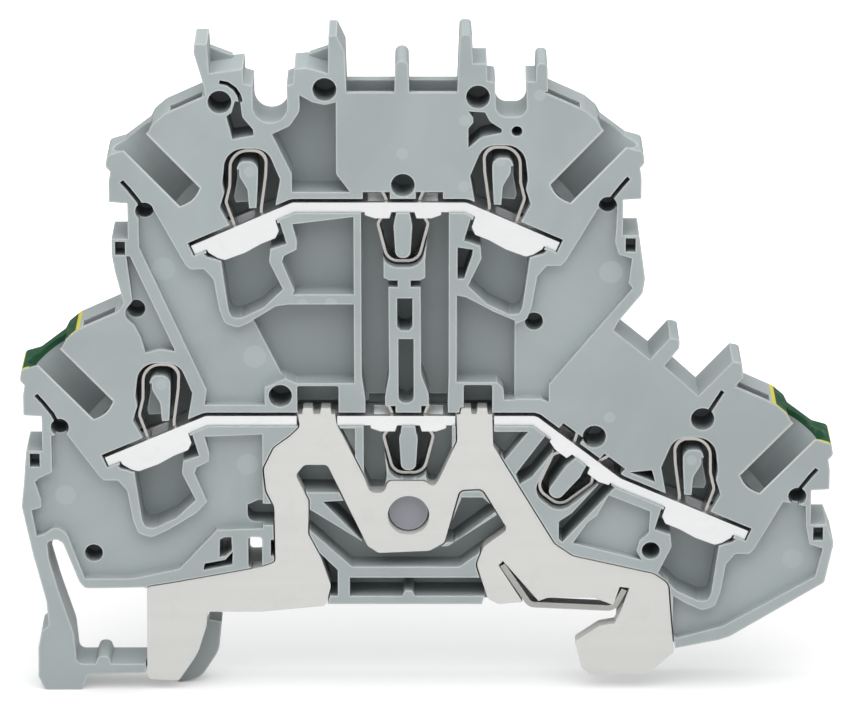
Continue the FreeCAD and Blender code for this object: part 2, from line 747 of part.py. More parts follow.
LATCH_OUTLINE = [
    (-32.45, 4.9), (-31.2, 4.9), (-30.45, 2.0, 8.0), (-29.2, -2.0, 3.0), (-28.95, -4.85, 0.6),
    (-27.35, -4.85), (-27.1, -4.1, 0.5), (-26.2, -4.1, 0.5), (-25.95, -4.85),
    (-21.0, -4.85), (-21.0, -5.6), (-28.0, -5.85), (-28.6, -7.25, 0.4), (-31.8, -7.25, 0.5),
    (-32.35, -6.0, 0.5), (-32.3, -3.3, 0.5), (-32.0, -1.8, 0.4), (-31.35, -1.3, 0.4), (-31.5, 1.0, 2.0),
]

FINGER_OUTLINE = [
    (-21.5, -4.85), (-19.8, -4.6, 0.8), (-18.2, -3.2, 2.0), (-17.45, -1.35), (-16.35, -1.55),
    (-16.6, -4.2, 2.5), (-18.3, -6.9, 2.0), (-20.2, -7.25, 0.4), (-21.5, -5.6),
]


# Housing: hollows

# Outer edge of the wall round a wire pocket
WALL_BELOW = [(-5.5, -8.35), (-5.1, -8.75), (-3.9, -8.75), (-3.1, -9.7), (-2.65, -12.4),
              (-2.2, -13.6, 0.6), (-1.1, -14.0, 0.8), (0.3, -13.35)]
WALL_INNER = [(2.9, -11.7), (3.8, -10.7), (2.75, -8.1), (2.95, -7.55), (4.0, -7.0),
              (4.05, -6.3), (3.65, -4.75)]

WIRE_POCKET = [(-2.45, -8.0), (-1.85, -12.4), (-1.55, -13.1, 0.5), (-0.75, -13.1), (1.1, -12.2, 0.5),
               (2.8, -10.55), (1.65, -8.1), (1.75, -7.0), (3.15, -6.5), (2.6, -4.6),
               (-3.9, -7.4), (-3.6, -7.7)]

POST_SIDE = [(0.0, -3.3), (-0.12, -1.7, 0.6), (-0.8, -0.5, 0.6)]
SHELF_SIDE = [(-1.2, -3.4), (-1.35, -2.9), (-1.05, -1.2), (-1.05, 0.0)]


def post_top():
    """The round top of a spring's post, from the wire's side to the other."""
    radius = SIZES["post_radius"]
    return [(-radius, radius, radius), (radius, radius, radius), (0.75, -1.2), (0.62, -3.3)]


def chamber_outlines(name):
    """Room round a clamp spring, and what stands inside the loop: the post and its shelf."""
    size = SIZES
    reach = size["loop_radius"] + size["spring_sheet"] / 2.0 + size["loop_gap"]
    room = [(-1.4, -5.4), (-2.5, -3.3), (-2.1, -2.0), (-2.25, -1.1), (-reach, reach, reach),
            (0.8 * reach, reach, 0.8 * reach), (2.65, -0.8), (2.1, -3.9)]
    return [at_station(name, room), at_station(name, SHELF_SIDE + post_top())]


def shelf_outline(name):
    """The lower step between a spring's post and its clamping leg."""
    return at_station(name, POST_SIDE + [(-0.8, 0.1), (-1.3, 0.1), (-1.6, -3.6), (0.0, -3.6)])


# Where the axis of a round entry meets the shoulder
ENTRY_MOUTH = (-9.55, 2.45)

TOOL_CHANNEL = [(-6.9, 5.6), (-4.1, 6.9), (-1.6, 1.0), (-2.1, -1.0), (-2.9, -1.2)]

SLIT_PATH = [(-10.8, -0.95), (-10.2, -1.65), (-9.4, -2.7), (-9.1, -3.3)]

LUG_POCKET = [(-11.45, -7.5), (-10.6, -7.5), (-10.6, -6.3), (-11.45, -6.3)]

V_CHAMBER = [(-2.45, -0.7), (-2.45, -1.6), (-1.5, -5.7, 1.35), (1.5, -5.7, 1.35), (2.45, -1.6),
             (2.45, -0.7)]
# Channels beside the ramp's V spring, drawn like its chamber from the busbar's upper face
RAMP_CHANNELS = [
    [(-3.9, -0.9), (-2.5, -0.9), (-2.5, -4.6), (-2.9, -5.7), (-3.75, -5.2)],
    [(2.5, -0.9), (3.75, -0.9), (3.3, -7.6), (2.9, -7.6), (1.9, -6.3), (2.3, -5.0)],
]

V_POST = [(-0.55, -0.75), (-0.8, -2.0, 0.5), (-0.62, -4.85, 0.6), (0.62, -4.85, 0.6), (0.8, -2.0, 0.5),
          (0.55, -0.75)]


# Curved slot beside the upper left peg socket
CRESCENT = [(-15.9, 47.75), (-15.2, 47.6), (-14.6, 47.15), (-14.25, 46.6), (-14.1, 46.0)]


def shallow_fields():
    """The light recessed areas of the side wall."""
    upper_left = round_station("upper_left", WALL_BELOW)
    upper_right = round_station("upper_right", WALL_BELOW)
    lower_left = round_station("lower_left", WALL_BELOW + WALL_INNER)
    lower_right = round_station("lower_right", WALL_BELOW)
    return [
        [(-21.6, 36.5), (-22.9, 35.9), (-22.9, 33.2), (-17.3, 20.4), (-17.5, 19.05),
         (-12.35, 19.05), (-12.35, 20.6), (-10.6, 21.4)] + upper_left[::-1],
        [(16.1, 36.6), (17.75, 36.6), (17.6, 33.6), (17.95, 32.55), (19.05, 32.2), (18.8, 30.0),
         (19.15, 29.55), (12.05, 20.9), (12.05, 19.3), (11.4, 19.6), (8.9, 19.6), (8.9, 26.4)]
        + upper_right[::-1],
        [(-29.6, 16.6), (-30.75, 16.2), (-30.75, 12.9), (-31.9, 12.35), (-32.25, 12.0), (-31.75, 10.4),
         (-31.75, 9.7), (-32.6, 9.4), (-32.2, 7.05), (-31.6, 7.2), (-30.6, 7.95, 0.8),
         (-29.6, 7.3, 0.6), (-28.1, 3.1), (-24.0, 3.1, 3.0), (-19.9, 4.0), (-16.6, 7.6),
         (-12.6, 7.75), (-12.6, 16.35)] + lower_left[::-1],
        [(32.4, 10.2), (34.35, 9.8), (34.4, 8.0), (34.75, 6.3), (35.9, 5.9), (35.3, 3.3),
         (27.3, -1.35, 1.0), (23.3, -2.45), (23.0, -2.2), (23.0, 1.5)] + lower_right[::-1],
        [(14.25, 6.4), (20.2, 4.85), (19.75, 5.7), (20.0, 6.6), (20.8, 7.3), (20.9, 9.3), (17.3, 10.8),
         (16.3, 8.9), (15.5, 8.3)],
        [(-24.0, 32.4), (-23.55, 28.4), (-24.15, 27.6), (-24.15, 26.9, 0.5), (-23.4, 26.2),
         (-22.9, 25.2), (-22.5, 23.75), (-21.3, 24.1, 1.5), (-20.0, 23.9), (-20.1, 24.2), (-23.7, 32.4)],
        [(-6.6, 16.9), (-4.6, 16.9), (-4.6, 12.6), (-5.6, 14.2)],
    ]


def middle_pockets():
    """The darker fields between the decks."""
    upper_left = round_station("upper_left", WALL_INNER)
    return [
        [(-4.65, 35.9), (-4.65, 29.0), (-9.85, 29.0)] + upper_left[1:],
        [(-4.65, 28.1), (-4.65, 21.0), (-9.6, 21.0), (-10.9, 21.6), (-13.35, 26.65), (-11.3, 27.95),
         (-10.2, 28.1)],
        [(7.2, 16.6), (10.3, 16.6), (8.3, 14.05), (7.2, 15.3)],
        [(4.15, 28.9), (4.9, 28.75), (7.3, 27.45), (9.1, 26.65), (9.1, 19.5), (8.25, 19.5),
         (8.15, 20.6, 0.5), (7.6, 21.1), (4.15, 21.1)],
    ]


def deep_pockets():
    """The dark pockets: wire ends, jumper channels and the hollows beside the marker grooves."""
    under_upper = UPPER - SIZES["bar_thickness"]
    under_lower = LOWER - SIZES["bar_thickness"]
    wires = [round_station(name, WIRE_POCKET) for name in stations()]
    channels = [
        [(-4.0, under_upper), (-4.0, 21.6, 1.0), (-3.7, 19.6), (-3.7, LOWER), (-2.0, LOWER),
         (-2.0, 19.8, 1.0), (-1.65, 21.8, 1.0), (-1.7, 30.3), (-2.1, 30.5), (-2.1, 32.0),
         (-2.6, under_upper)],
        [(3.45, under_upper), (3.45, 21.6, 1.0), (3.35, LOWER), (1.75, LOWER), (1.75, 20.0, 1.0),
         (1.1, 21.8, 1.0), (1.05, 30.3), (1.45, 30.5), (1.45, 32.0), (1.8, under_upper)],
        [(-3.85, under_lower), (-3.85, 12.4, 0.8), (-3.3, 11.05), (-2.1, 11.05),
         (-1.85, 12.6, 0.5), (-2.3, under_lower)],
        [(3.75, under_lower), (3.75, 12.8, 0.8), (2.9, 11.5, 0.6), (1.75, 11.5, 0.5), (1.5, 12.6, 0.5),
         (2.1, under_lower)],
    ]
    hollows = [
        [(-9.15, 46.6), (-8.1, 46.0), (-7.05, 45.75, 0.6), (-6.1, 46.0), (-6.1, 39.7), (-4.95, 38.1),
         (-9.85, 38.1), (-9.85, 39.7), (-11.5, 43.2), (-10.0, 43.9, 0.8), (-9.15, 45.2, 0.8)],
        [(5.1, 42.0), (6.2, 42.95, 1.0), (7.9, 43.3), (7.9, 43.65), (6.9, 44.3, 1.0),
         (6.5, 45.1), (5.1, 45.2), (5.5, 44.6), (5.5, 44.2), (5.1, 43.7)],
        [(-15.35, 44.75), (-14.85, 42.75), (-13.05, 43.1), (-13.1, 43.6), (-14.0, 44.7, 0.6),
         (-14.15, 46.0), (-14.6, 46.1), (-14.9, 45.1)],
        [(-0.85, 25.0), (0.45, 25.0), (0.45, 19.2, 0.6), (-0.85, 19.2, 0.6)],
        [(-0.95, 28.65), (0.35, 28.65), (0.35, 26.1), (0.05, 25.75), (-0.6, 25.75),
         (-0.95, 26.1)],
        [(4.2, 33.2), (5.5, 33.0), (5.45, 32.5), (4.75, 30.4), (4.2, 30.4)],
        box_loop(-9.55, -6.0, 18.0, 20.75, 0.2),
        box_loop(4.75, 7.2, 18.0, 20.85, 0.2),
        strip(CRESCENT, 0.35),
        box_loop(-1.8, -0.9, 29.65, 30.25),
        box_loop(0.2, 1.1, 29.65, 30.25),
        box_loop(-1.35, -0.65, 16.4, 17.0),
        box_loop(0.65, 1.35, 16.4, 17.0),
        [(19.1, 12.9), (21.0, 13.1), (21.3, 12.0)],
        [(-13.95, 8.05, 0.7), (-11.5, 8.05), (-11.5, 10.0), (-13.0, 10.05), (-13.95, 9.6)],
    ]
    return wires, channels, hollows


SOCKETS = [(-15.9, 46.0), (-7.05, 47.1), (5.9, 46.45), (-0.45, 38.7), (-11.0, 19.85), (25.3, 17.75)]
RAMP_SOCKET = (-0.5337, 1.6584)
SMALL_SOCKETS = [(-22.4, 36.4), (16.95, 36.9), (-23.3, 27.45), (-30.0, 17.0), (33.6, 10.7), (10.75, 26.3),
                 (21.0, 5.7), (-27.35, 5.15)]
VENT = (9.2, 43.45)


def socket_places():
    """Middles of the large sockets; the one over the ramp's jumper place keeps to the ramp."""
    ramp, slope = jumper_places()["ramp"]
    return placed(SOCKETS) + moved([RAMP_SOCKET], ramp, 1.0, slope)


def mould_blank(doc):
    """The filled silhouette with the latch, the finger under the rail and the pegs."""
    body = new_body(doc, "housing_blank")
    pad_loops(body, "side_wall", [housing_outline()], FRONT, "Sizes.block_width")
    pad_loops(body, "latch", [placed(LATCH_OUTLINE)], FRONT, "Sizes.latch_width")
    behind_foot = "(Sizes.foot_inset + Sizes.foot_thickness + Sizes.foot_clearance)"
    pad_loops(body, "finger", [placed(FINGER_OUTLINE)], FRONT + " - " + behind_foot,
              "Sizes.latch_width - " + behind_foot)
    pad_loops(body, "grip_fins", [placed(fin) for fin in GRIP_FINS],
              "-Sizes.block_width / 2 + Sizes.fin_sheet", "Sizes.fin_sheet")
    root = "Sizes.plate_wall"
    back = "-Sizes.block_width / 2 + " + root
    length = "Sizes.peg_height + " + root
    pad_circles(body, "pegs", socket_places(), "Sizes.socket_radius - Sizes.peg_clearance", back, length)
    pad_circles(body, "small_pegs", placed(SMALL_SOCKETS), "Sizes.small_socket_radius - Sizes.peg_clearance",
                back, length)
    return body


def clamp_hollows(doc):
    """Clamp chambers with their posts left standing, and the slots that the busbars lie in."""
    loops = []
    for name in stations():
        loops += chamber_outlines(name)
    shelves = [shelf_outline(name) for name in stations()]
    gap = SIZES["bar_gap"]
    collars = [at_station(name, grown(COLLAR, gap)) for name in stations()]
    lips = [grown(lip, gap) for place in jumper_places().values() for lip in jumper_lips(*place)]
    return [
        hollow(doc, "clamp_chambers", loops, CHAMBER_DEPTH),
        hollow(doc, "shelves", shelves, "Sizes.middle_depth"),
        hollow(doc, "collar_rooms", collars, CHAMBER_DEPTH),
        hollow(doc, "lip_rooms", lips, "Sizes.bar_inset + Sizes.lip_wall + Sizes.bar_gap"),
        hollow(doc, "bar_slots", [bar_slot(upper_bar_top()), bar_slot(lower_bar_top())],
               CHAMBER_DEPTH),
    ]


def jumper_hollows(doc):
    """V spring chambers with their posts left standing, and the windows over the busbars."""
    chambers, windows = [], []
    for place, angle in jumper_places().values():
        chambers.append(moved(V_CHAMBER, place, 1.0, angle))
        chambers.append(moved(V_POST, place, 1.0, angle))
        for left, right in ((-3.4, -1.1), (1.1, 3.4)):
            windows.append(moved(box_loop(left, right, 0.0, 1.0), place, 1.0, angle))
    ramp, slope = jumper_places()["ramp"]
    channels = [moved(channel, ramp, 1.0, slope) for channel in RAMP_CHANNELS]
    return [
        hollow(doc, "jumper_chambers", chambers, CHAMBER_DEPTH),
        hollow(doc, "ramp_channels", channels, "Sizes.pocket_depth"),
        hollow(doc, "jumper_windows", windows, CHAMBER_DEPTH),
    ]


def round_bore(doc, name, start, direction, radius, length):
    """A round bore from a point along a direction."""
    bore = doc.addObject("Part::Cylinder", name)
    bore.Placement = FreeCAD.Placement(start, FreeCAD.Rotation(FreeCAD.Vector(0.0, 0.0, 1.0), direction))
    bore.setExpression("Radius", radius)
    bore.setExpression("Height", length)
    return bore


def funnel(doc, name, start, direction):
    """The cone that leads a wire from the entry into its bore."""
    cone = doc.addObject("Part::Cone", name)
    cone.Placement = FreeCAD.Placement(start, FreeCAD.Rotation(FreeCAD.Vector(0.0, 0.0, 1.0), direction))
    cone.setExpression("Radius1", "Sizes.entry_radius")
    cone.setExpression("Radius2", "Sizes.wire_radius")
    cone.setExpression("Height", "Sizes.funnel_length")
    return cone


def entry_hollows(doc):
    """Round wire entries, open to the side, each with the narrower bore that leads to its busbar."""
    size = SIZES
    slope = math.radians(size["entry_slope"])
    bores = []
    for name, (origin, side) in stations().items():
        mouth = moved([ENTRY_MOUTH], origin, side)[0]
        direction = FreeCAD.Vector(math.cos(slope) * side, 0.0, -math.sin(slope))
        start = FreeCAD.Vector(mouth[0], size["entry_depth"] - size["block_width"] / 2.0, mouth[1])
        bores.append(round_bore(doc, name + "_entry", start - direction * 2.0, direction,
                                "Sizes.entry_radius", "Sizes.entry_length + 2"))
        bores.append(round_bore(doc, name + "_wire_bore", start, direction,
                                "Sizes.wire_radius", "Sizes.entry_length + Sizes.wire_reach"))
        bores.append(funnel(doc, name + "_funnel", start + direction * size["entry_length"], direction))
    return bores


# Slots over the ramp's jumper place, along the ramp and up from it
RAMP_SLOTS = ((-3.3, -0.35), (0.75, 3.3))
RAMP_SLOT_TOP = 9.2


def slot_hollows(doc):
    """Tool slots beside the wire entries, and the jumper slots behind the thin plates."""
    tools = [at_station(name, TOOL_CHANNEL) for name in stations()]
    jumpers = [
        [(-5.2, 47.5), (-5.2, 42.5), (-3.85, 40.5), (-3.85, UPPER), (-1.55, UPPER), (-1.15, 40.5),
         (-1.15, 47.5)],
        [(0.1, 47.5), (0.1, 40.5), (0.65, UPPER), (2.95, UPPER), (2.95, 40.5), (4.15, 42.5), (4.15, 47.5)],
    ]
    jumpers = [placed(loop) for loop in jumpers]
    place, angle = jumper_places()["ramp"]
    for left, right in RAMP_SLOTS:
        slot = [(left, 0.3), (right, 0.3), (right, RAMP_SLOT_TOP), (left - 0.4, RAMP_SLOT_TOP)]
        jumpers.append(moved(slot, place, 1.0, angle))
    return [
        hollow(doc, "tool_slots", tools, "Sizes.tool_slot_depth", FRONT + " - Sizes.tool_slot_wall"),
        hollow(doc, "jumper_slots", jumpers, CHAMBER_DEPTH + " - Sizes.plate_wall",
               FRONT + " - Sizes.plate_wall"),
    ]


def foot_hollows(doc):
    """The bay of the ground foot round its boss, and the windows and pan behind it."""
    bay = "Sizes.foot_inset + Sizes.foot_thickness"
    boss = "Sizes.foot_hole - Sizes.foot_clearance"
    windows = [
        [(-9.8, 13.7), (-9.8, 11.05), (-6.0, 11.05), (-6.9, 13.7)],
        [(3.0, 6.45), (3.9, 6.45), (7.7, 9.4), (6.4, 10.6), (4.6, 10.6)],
        [(-7.4, 10.2), (-5.6, 10.3), (-3.5, 6.45), (-3.9, 6.45)],
        [(-5.1, 1.5), (-0.55, 1.5), (-0.35, 2.0, 0.3), (0.35, 2.0, 0.3), (0.55, 1.5),
         (6.8, 1.5), (6.2, 3.2), (-5.1, 3.2)],
        [(-8.0, 5.8), (-7.0, 3.0), (-6.75, 1.5), (-6.15, 1.5), (-6.15, 3.9)],
        box_loop(-11.95, -11.55, 5.2, 6.7),
        [(-17.7, 4.5), (-17.8, 3.9), (-15.3, 4.4), (-15.25, 5.6), (-15.9, 4.85)],
    ]
    through = [
        [(-16.35, 6.7), (-15.95, 6.95), (-15.35, 6.95), (-15.3, 5.7), (-15.9, 5.2),
         (-16.4, 5.1)],
        box_loop(-13.9, -12.7, 4.1, 6.95, 0.3),
    ]
    pan = [(-8.7, 9.6), (-8.55, 7.6), (-4.9, 4.2, 0.5), (4.4, 4.2, 0.5), (8.7, 7.4), (7.8, 9.1),
           (3.4, 6.1, 0.5), (-3.3, 6.1, 0.5)]
    return [
        hollow(doc, "foot_bay", [grown(placed(FOOT_OUTLINE), SIZES["foot_clearance"])], bay,
               centres=placed([BOSS]), radius=boss),
        drawn_hollow(doc, "leaf_bay", [LEAF_BAY], bay),
        drawn_hollow(doc, "foot_windows", windows, "Sizes.pocket_depth"),
        drawn_hollow(doc, "latch_windows", through, "Sizes.block_width"),
        drawn_hollow(doc, "pan", [pan], bay + " + Sizes.field_depth"),
        hollow(doc, "boss_top", [], "Sizes.boss_recess", centres=placed([BOSS]), radius=boss + " / 2"),
    ]


def small_hollows(doc):
    """Slits, lug pockets, peg sockets and the small vent."""
    slits = [placed(round_station(name, strip(SLIT_PATH, SIZES["slit_width"]))) for name in stations()]
    slits.append(strip(placed([(27.0, 20.3), (25.9, 18.5)]), SIZES["slit_width"]))
    lugs = [placed(round_station(name, LUG_POCKET)) for name in stations()]
    return [
        hollow(doc, "slits", slits, "Sizes.middle_depth"),
        hollow(doc, "lug_pockets", lugs, "Sizes.middle_depth"),
        hollow(doc, "sockets", [], "Sizes.socket_depth", centres=socket_places(),
               radius="Sizes.socket_radius"),
        hollow(doc, "small_sockets", [], "Sizes.socket_depth", centres=placed(SMALL_SOCKETS),
               radius="Sizes.small_socket_radius"),
        hollow(doc, "vent", [], CHAMBER_DEPTH, centres=placed([VENT]), radius="Sizes.vent_radius"),
    ]


def housing(doc):
    """The grey moulding: one piece, closed at the back and open at the front."""
    blank = mould_blank(doc)
    wires, channels, hollows = deep_pockets()
    cutters = [
        drawn_hollow(doc, "shallow_fields", shallow_fields(), "Sizes.field_depth"),
        drawn_hollow(doc, "middle_pockets", middle_pockets(), "Sizes.middle_depth"),
        drawn_hollow(doc, "wire_pockets", wires, "Sizes.pocket_depth"),
        drawn_hollow(doc, "jumper_channels", channels, "Sizes.pocket_depth"),
        drawn_hollow(doc, "hollows", hollows, "Sizes.pocket_depth"),
    ]
    cutters += clamp_hollows(doc)
    cutters += jumper_hollows(doc)
    cutters += entry_hollows(doc)
    cutters += slot_hollows(doc)
    cutters += foot_hollows(doc)
    cutters += small_hollows(doc)
    inside = doc.addObject("Part::MultiFuse", "housing_hollows")
    inside.Shapes = cutters
    inside.Refine = False
    moulding = doc.addObject("Part::Cut", "housing")
    moulding.Label = "housing"
    moulding.Base = blank
    moulding.Tool = inside
    moulding.Refine = True
    return moulding


def check(doc, parts):
    """Stop when a feature failed or a piece is not one valid solid."""
    for item in doc.Objects:
        if "Invalid" in item.State or "Error" in item.State:
            raise RuntimeError(f"{item.Name} failed: {item.State}")
    for part in parts:
        shape = part.Shape
        if shape.isNull() or not shape.isValid():
            raise RuntimeError(f"{part.Label} has no valid shape")
        print(part.Label, "solids", len(shape.Solids), "volume", round(shape.Volume, 2))


def main():
    """Build the document and write one file for each piece."""
    doc = FreeCAD.newDocument("terminal_block")
    make_sheet(doc)
    lower = busbar(doc, "lower_busbar", lower_bar_top(), ("lower_left", "lower_right"), ("lower", "ramp"))
    notch_for_foot(lower)
    parts = [
        housing(doc),
        busbar(doc, "upper_busbar", upper_bar_top(), ("upper_left", "upper_right"), ("upper",)),
        lower,
        jumper_spring(doc, "upper_jumper_spring", "upper"),
        jumper_spring(doc, "lower_jumper_spring", "lower"),
        jumper_spring(doc, "ramp_jumper_spring", "ramp"),
        ground_foot(doc),
        foot_spring(doc),
    ]
    parts += clamp_springs(doc)
    doc.recompute()
    check(doc, parts)
    os.makedirs("parts", exist_ok=True)
    for part in parts:
        part.Shape.exportStep(os.path.join("parts", part.Label + ".step"))


main()
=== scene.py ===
"""Looks of a double level terminal block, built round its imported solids.

The housing is a grey moulding that is open towards -Y. The metal pieces lie in it, and the
ground entries at its two lower corners carry green and yellow print.
"""

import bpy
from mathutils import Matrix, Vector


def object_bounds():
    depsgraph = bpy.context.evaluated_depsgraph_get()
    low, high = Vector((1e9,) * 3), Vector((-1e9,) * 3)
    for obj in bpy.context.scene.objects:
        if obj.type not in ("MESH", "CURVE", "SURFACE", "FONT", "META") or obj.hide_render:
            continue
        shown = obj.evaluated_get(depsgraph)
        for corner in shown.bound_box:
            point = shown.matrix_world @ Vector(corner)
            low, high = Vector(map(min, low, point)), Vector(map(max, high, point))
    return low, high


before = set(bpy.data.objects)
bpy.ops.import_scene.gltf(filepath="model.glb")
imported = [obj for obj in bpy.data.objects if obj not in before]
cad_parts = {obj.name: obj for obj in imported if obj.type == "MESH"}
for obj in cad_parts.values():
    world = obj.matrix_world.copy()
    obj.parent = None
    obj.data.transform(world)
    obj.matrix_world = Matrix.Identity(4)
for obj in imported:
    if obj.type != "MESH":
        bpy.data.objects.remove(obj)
CAD_BOX = [list(corner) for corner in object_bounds()]

import logging
from dataclasses import dataclass, field
from enum import Enum
from functools import reduce
from typing import Sequence

import bpy
from mathutils import Vector

LOG = logging.getLogger("terminal_block")
MM = 0.001  # metres in a millimetre
FRONT_FACE = -2.6  # where the open side's front faces lie along Y, in millimetres
WHITE = (1.0, 1.0, 1.0)

Colour = tuple[float, float, float]
Point = tuple[float, float, float]
Spot = tuple[float, float, float]
Span = tuple[float, float]
Socket = bpy.types.NodeSocket
Sockets = bpy.types.bpy_prop_collection


class End(Enum):
    """The two ends of the block that carry ground print, and which way along X each one looks."""

    LATCH = -1.0
    JAW = 1.0


class Grain(Enum):
    """Which way a rolled or stamped surface was worked, as its fineness along each axis."""

    ALONG_X = (1.0, 12.0, 12.0)
    ACROSS_X = (12.0, 12.0, 1.0)


def shaded(colour: Colour, share: float) -> Colour:
    """Darken or lighten a colour by one share, up to white."""
    return tuple(min(part * share, 1.0) for part in colour)


# Node helpers


class Nodes:
    """A node tree with short calls for adding and joining nodes."""

    def __init__(self, tree: bpy.types.NodeTree) -> None:
        """Keep the tree.

        Args:
            tree: The material's or the group's node tree.
        """
        self.tree = tree

    def add(self, kind: str, **settings: object) -> bpy.types.Node:
        """Add a node and set its properties.

        Args:
            kind: The node's Blender type name.
            settings: Property names and values.

        Returns:
            The new node.
        """
        node = self.tree.nodes.new(kind)
        for name, value in settings.items():
            setattr(node, name, value)
        return node

    def join(self, start: Socket, end: Socket) -> None:
        """Link an output to an input."""
        self.tree.links.new(start, end)

    def feed(self, slot: Socket, value: Socket | Colour | float) -> None:
        """Give an input a link, a colour or a number.

        Args:
            slot: The input.
            value: The socket to link, or the value to write there.
        """
        if isinstance(value, Socket):
            self.join(value, slot)
        elif isinstance(value, tuple):
            slot.default_value = (*value, 1.0)
        else:
            slot.default_value = value

    def place(self) -> Socket:
        """Give the surface point's place on the block, in metres."""
        return self.add("ShaderNodeTexCoord").outputs["Object"]

    def split(self, vector: Socket) -> Sockets:
        """Take a vector apart.

        Args:
            vector: The vector's socket.

        Returns:
            The outputs X, Y and Z.
        """
        axes = self.add("ShaderNodeSeparateXYZ")
        self.join(vector, axes.inputs[0])
        return axes.outputs

    def math(self, operation: str, first: Socket | float, second: Socket | float = 0.0,
             clamp: bool = False) -> Socket:
        """Add a Math node.

        Args:
            operation: The Math node's operation.
            first: A socket or a number.
            second: A socket or a number.
            clamp: Whether the result is kept between 0 and 1.

        Returns:
            The node's output.
        """
        node = self.add("ShaderNodeMath", operation=operation, use_clamp=clamp)
        self.feed(node.inputs[0], first)
        self.feed(node.inputs[1], second)
        return node.outputs[0]

    def ramp(self, value: Socket, low: float, high: float, to_low: float = 0.0,
             to_high: float = 1.0) -> Socket:
        """Map a value from one range to another, with smooth ends.

        Args:
            value: The socket to map.
            low: The value that gives to_low.
            high: The value that gives to_high.
            to_low: Result at low.
            to_high: Result at high.

        Returns:
            The mapped value.
        """
        node = self.add("ShaderNodeMapRange", interpolation_type="SMOOTHSTEP")
        self.join(value, node.inputs["Value"])
        node.inputs["From Min"].default_value = low
        node.inputs["From Max"].default_value = high
        node.inputs["To Min"].default_value = to_low
        node.inputs["To Max"].default_value = to_high
        return node.outputs["Result"]

    def mix(self, mask: Socket | float, first: Socket | Colour, second: Socket | Colour) -> Socket:
        """Mix two colours.

        Args:
            mask: A socket or a number, 0 for the first colour and 1 for the second.
            first: A socket or a colour.
            second: A socket or a colour.

        Returns:
            The mixed colour.
        """
        node = self.add("ShaderNodeMix", data_type="RGBA")
        for slot, value in zip((node.inputs[0], node.inputs[6], node.inputs[7]), (mask, first, second)):
            self.feed(slot, value)
        return node.outputs[2]

    def noise(self, place: Socket, scale: Socket | float, detail: float, roughness: float = 0.5,
              distortion: float = 0.0) -> Socket:
        """Add a Noise texture.

        Args:
            place: The point that it is read at.
            scale: A socket or a number, in waves a metre.
            detail: Number of finer layers.
            roughness: How strong the finer layers are.
            distortion: How far the pattern is dragged about.

        Returns:
            Its grey value.
        """
        node = self.add("ShaderNodeTexNoise")
        self.join(place, node.inputs["Vector"])
        self.feed(node.inputs["Scale"], scale)
        node.inputs["Detail"].default_value = detail
        node.inputs["Roughness"].default_value = roughness
        node.inputs["Distortion"].default_value = distortion
        return node.outputs["Fac"]

    def relief(self, height: Socket, edge_radius: float, strength: float, depth: float) -> Socket:
        """Round the edges a little and roughen the surface.

        Args:
            height: The roughness, as a height from 0 to 1.
            edge_radius: Radius of the rounded edges, in millimetres.
            strength: Share of the height that shows.
            depth: The height that 1 stands for, in millimetres.

        Returns:
            The normal for the shader.
        """
        soft = self.add("ShaderNodeBevel", samples=2)
        soft.inputs["Radius"].default_value = edge_radius * MM
        bump = self.add("ShaderNodeBump")
        bump.inputs["Strength"].default_value = strength
        bump.inputs["Distance"].default_value = depth * MM
        self.join(height, bump.inputs["Height"])
        self.join(soft.outputs["Normal"], bump.inputs["Normal"])
        return bump.outputs["Normal"]


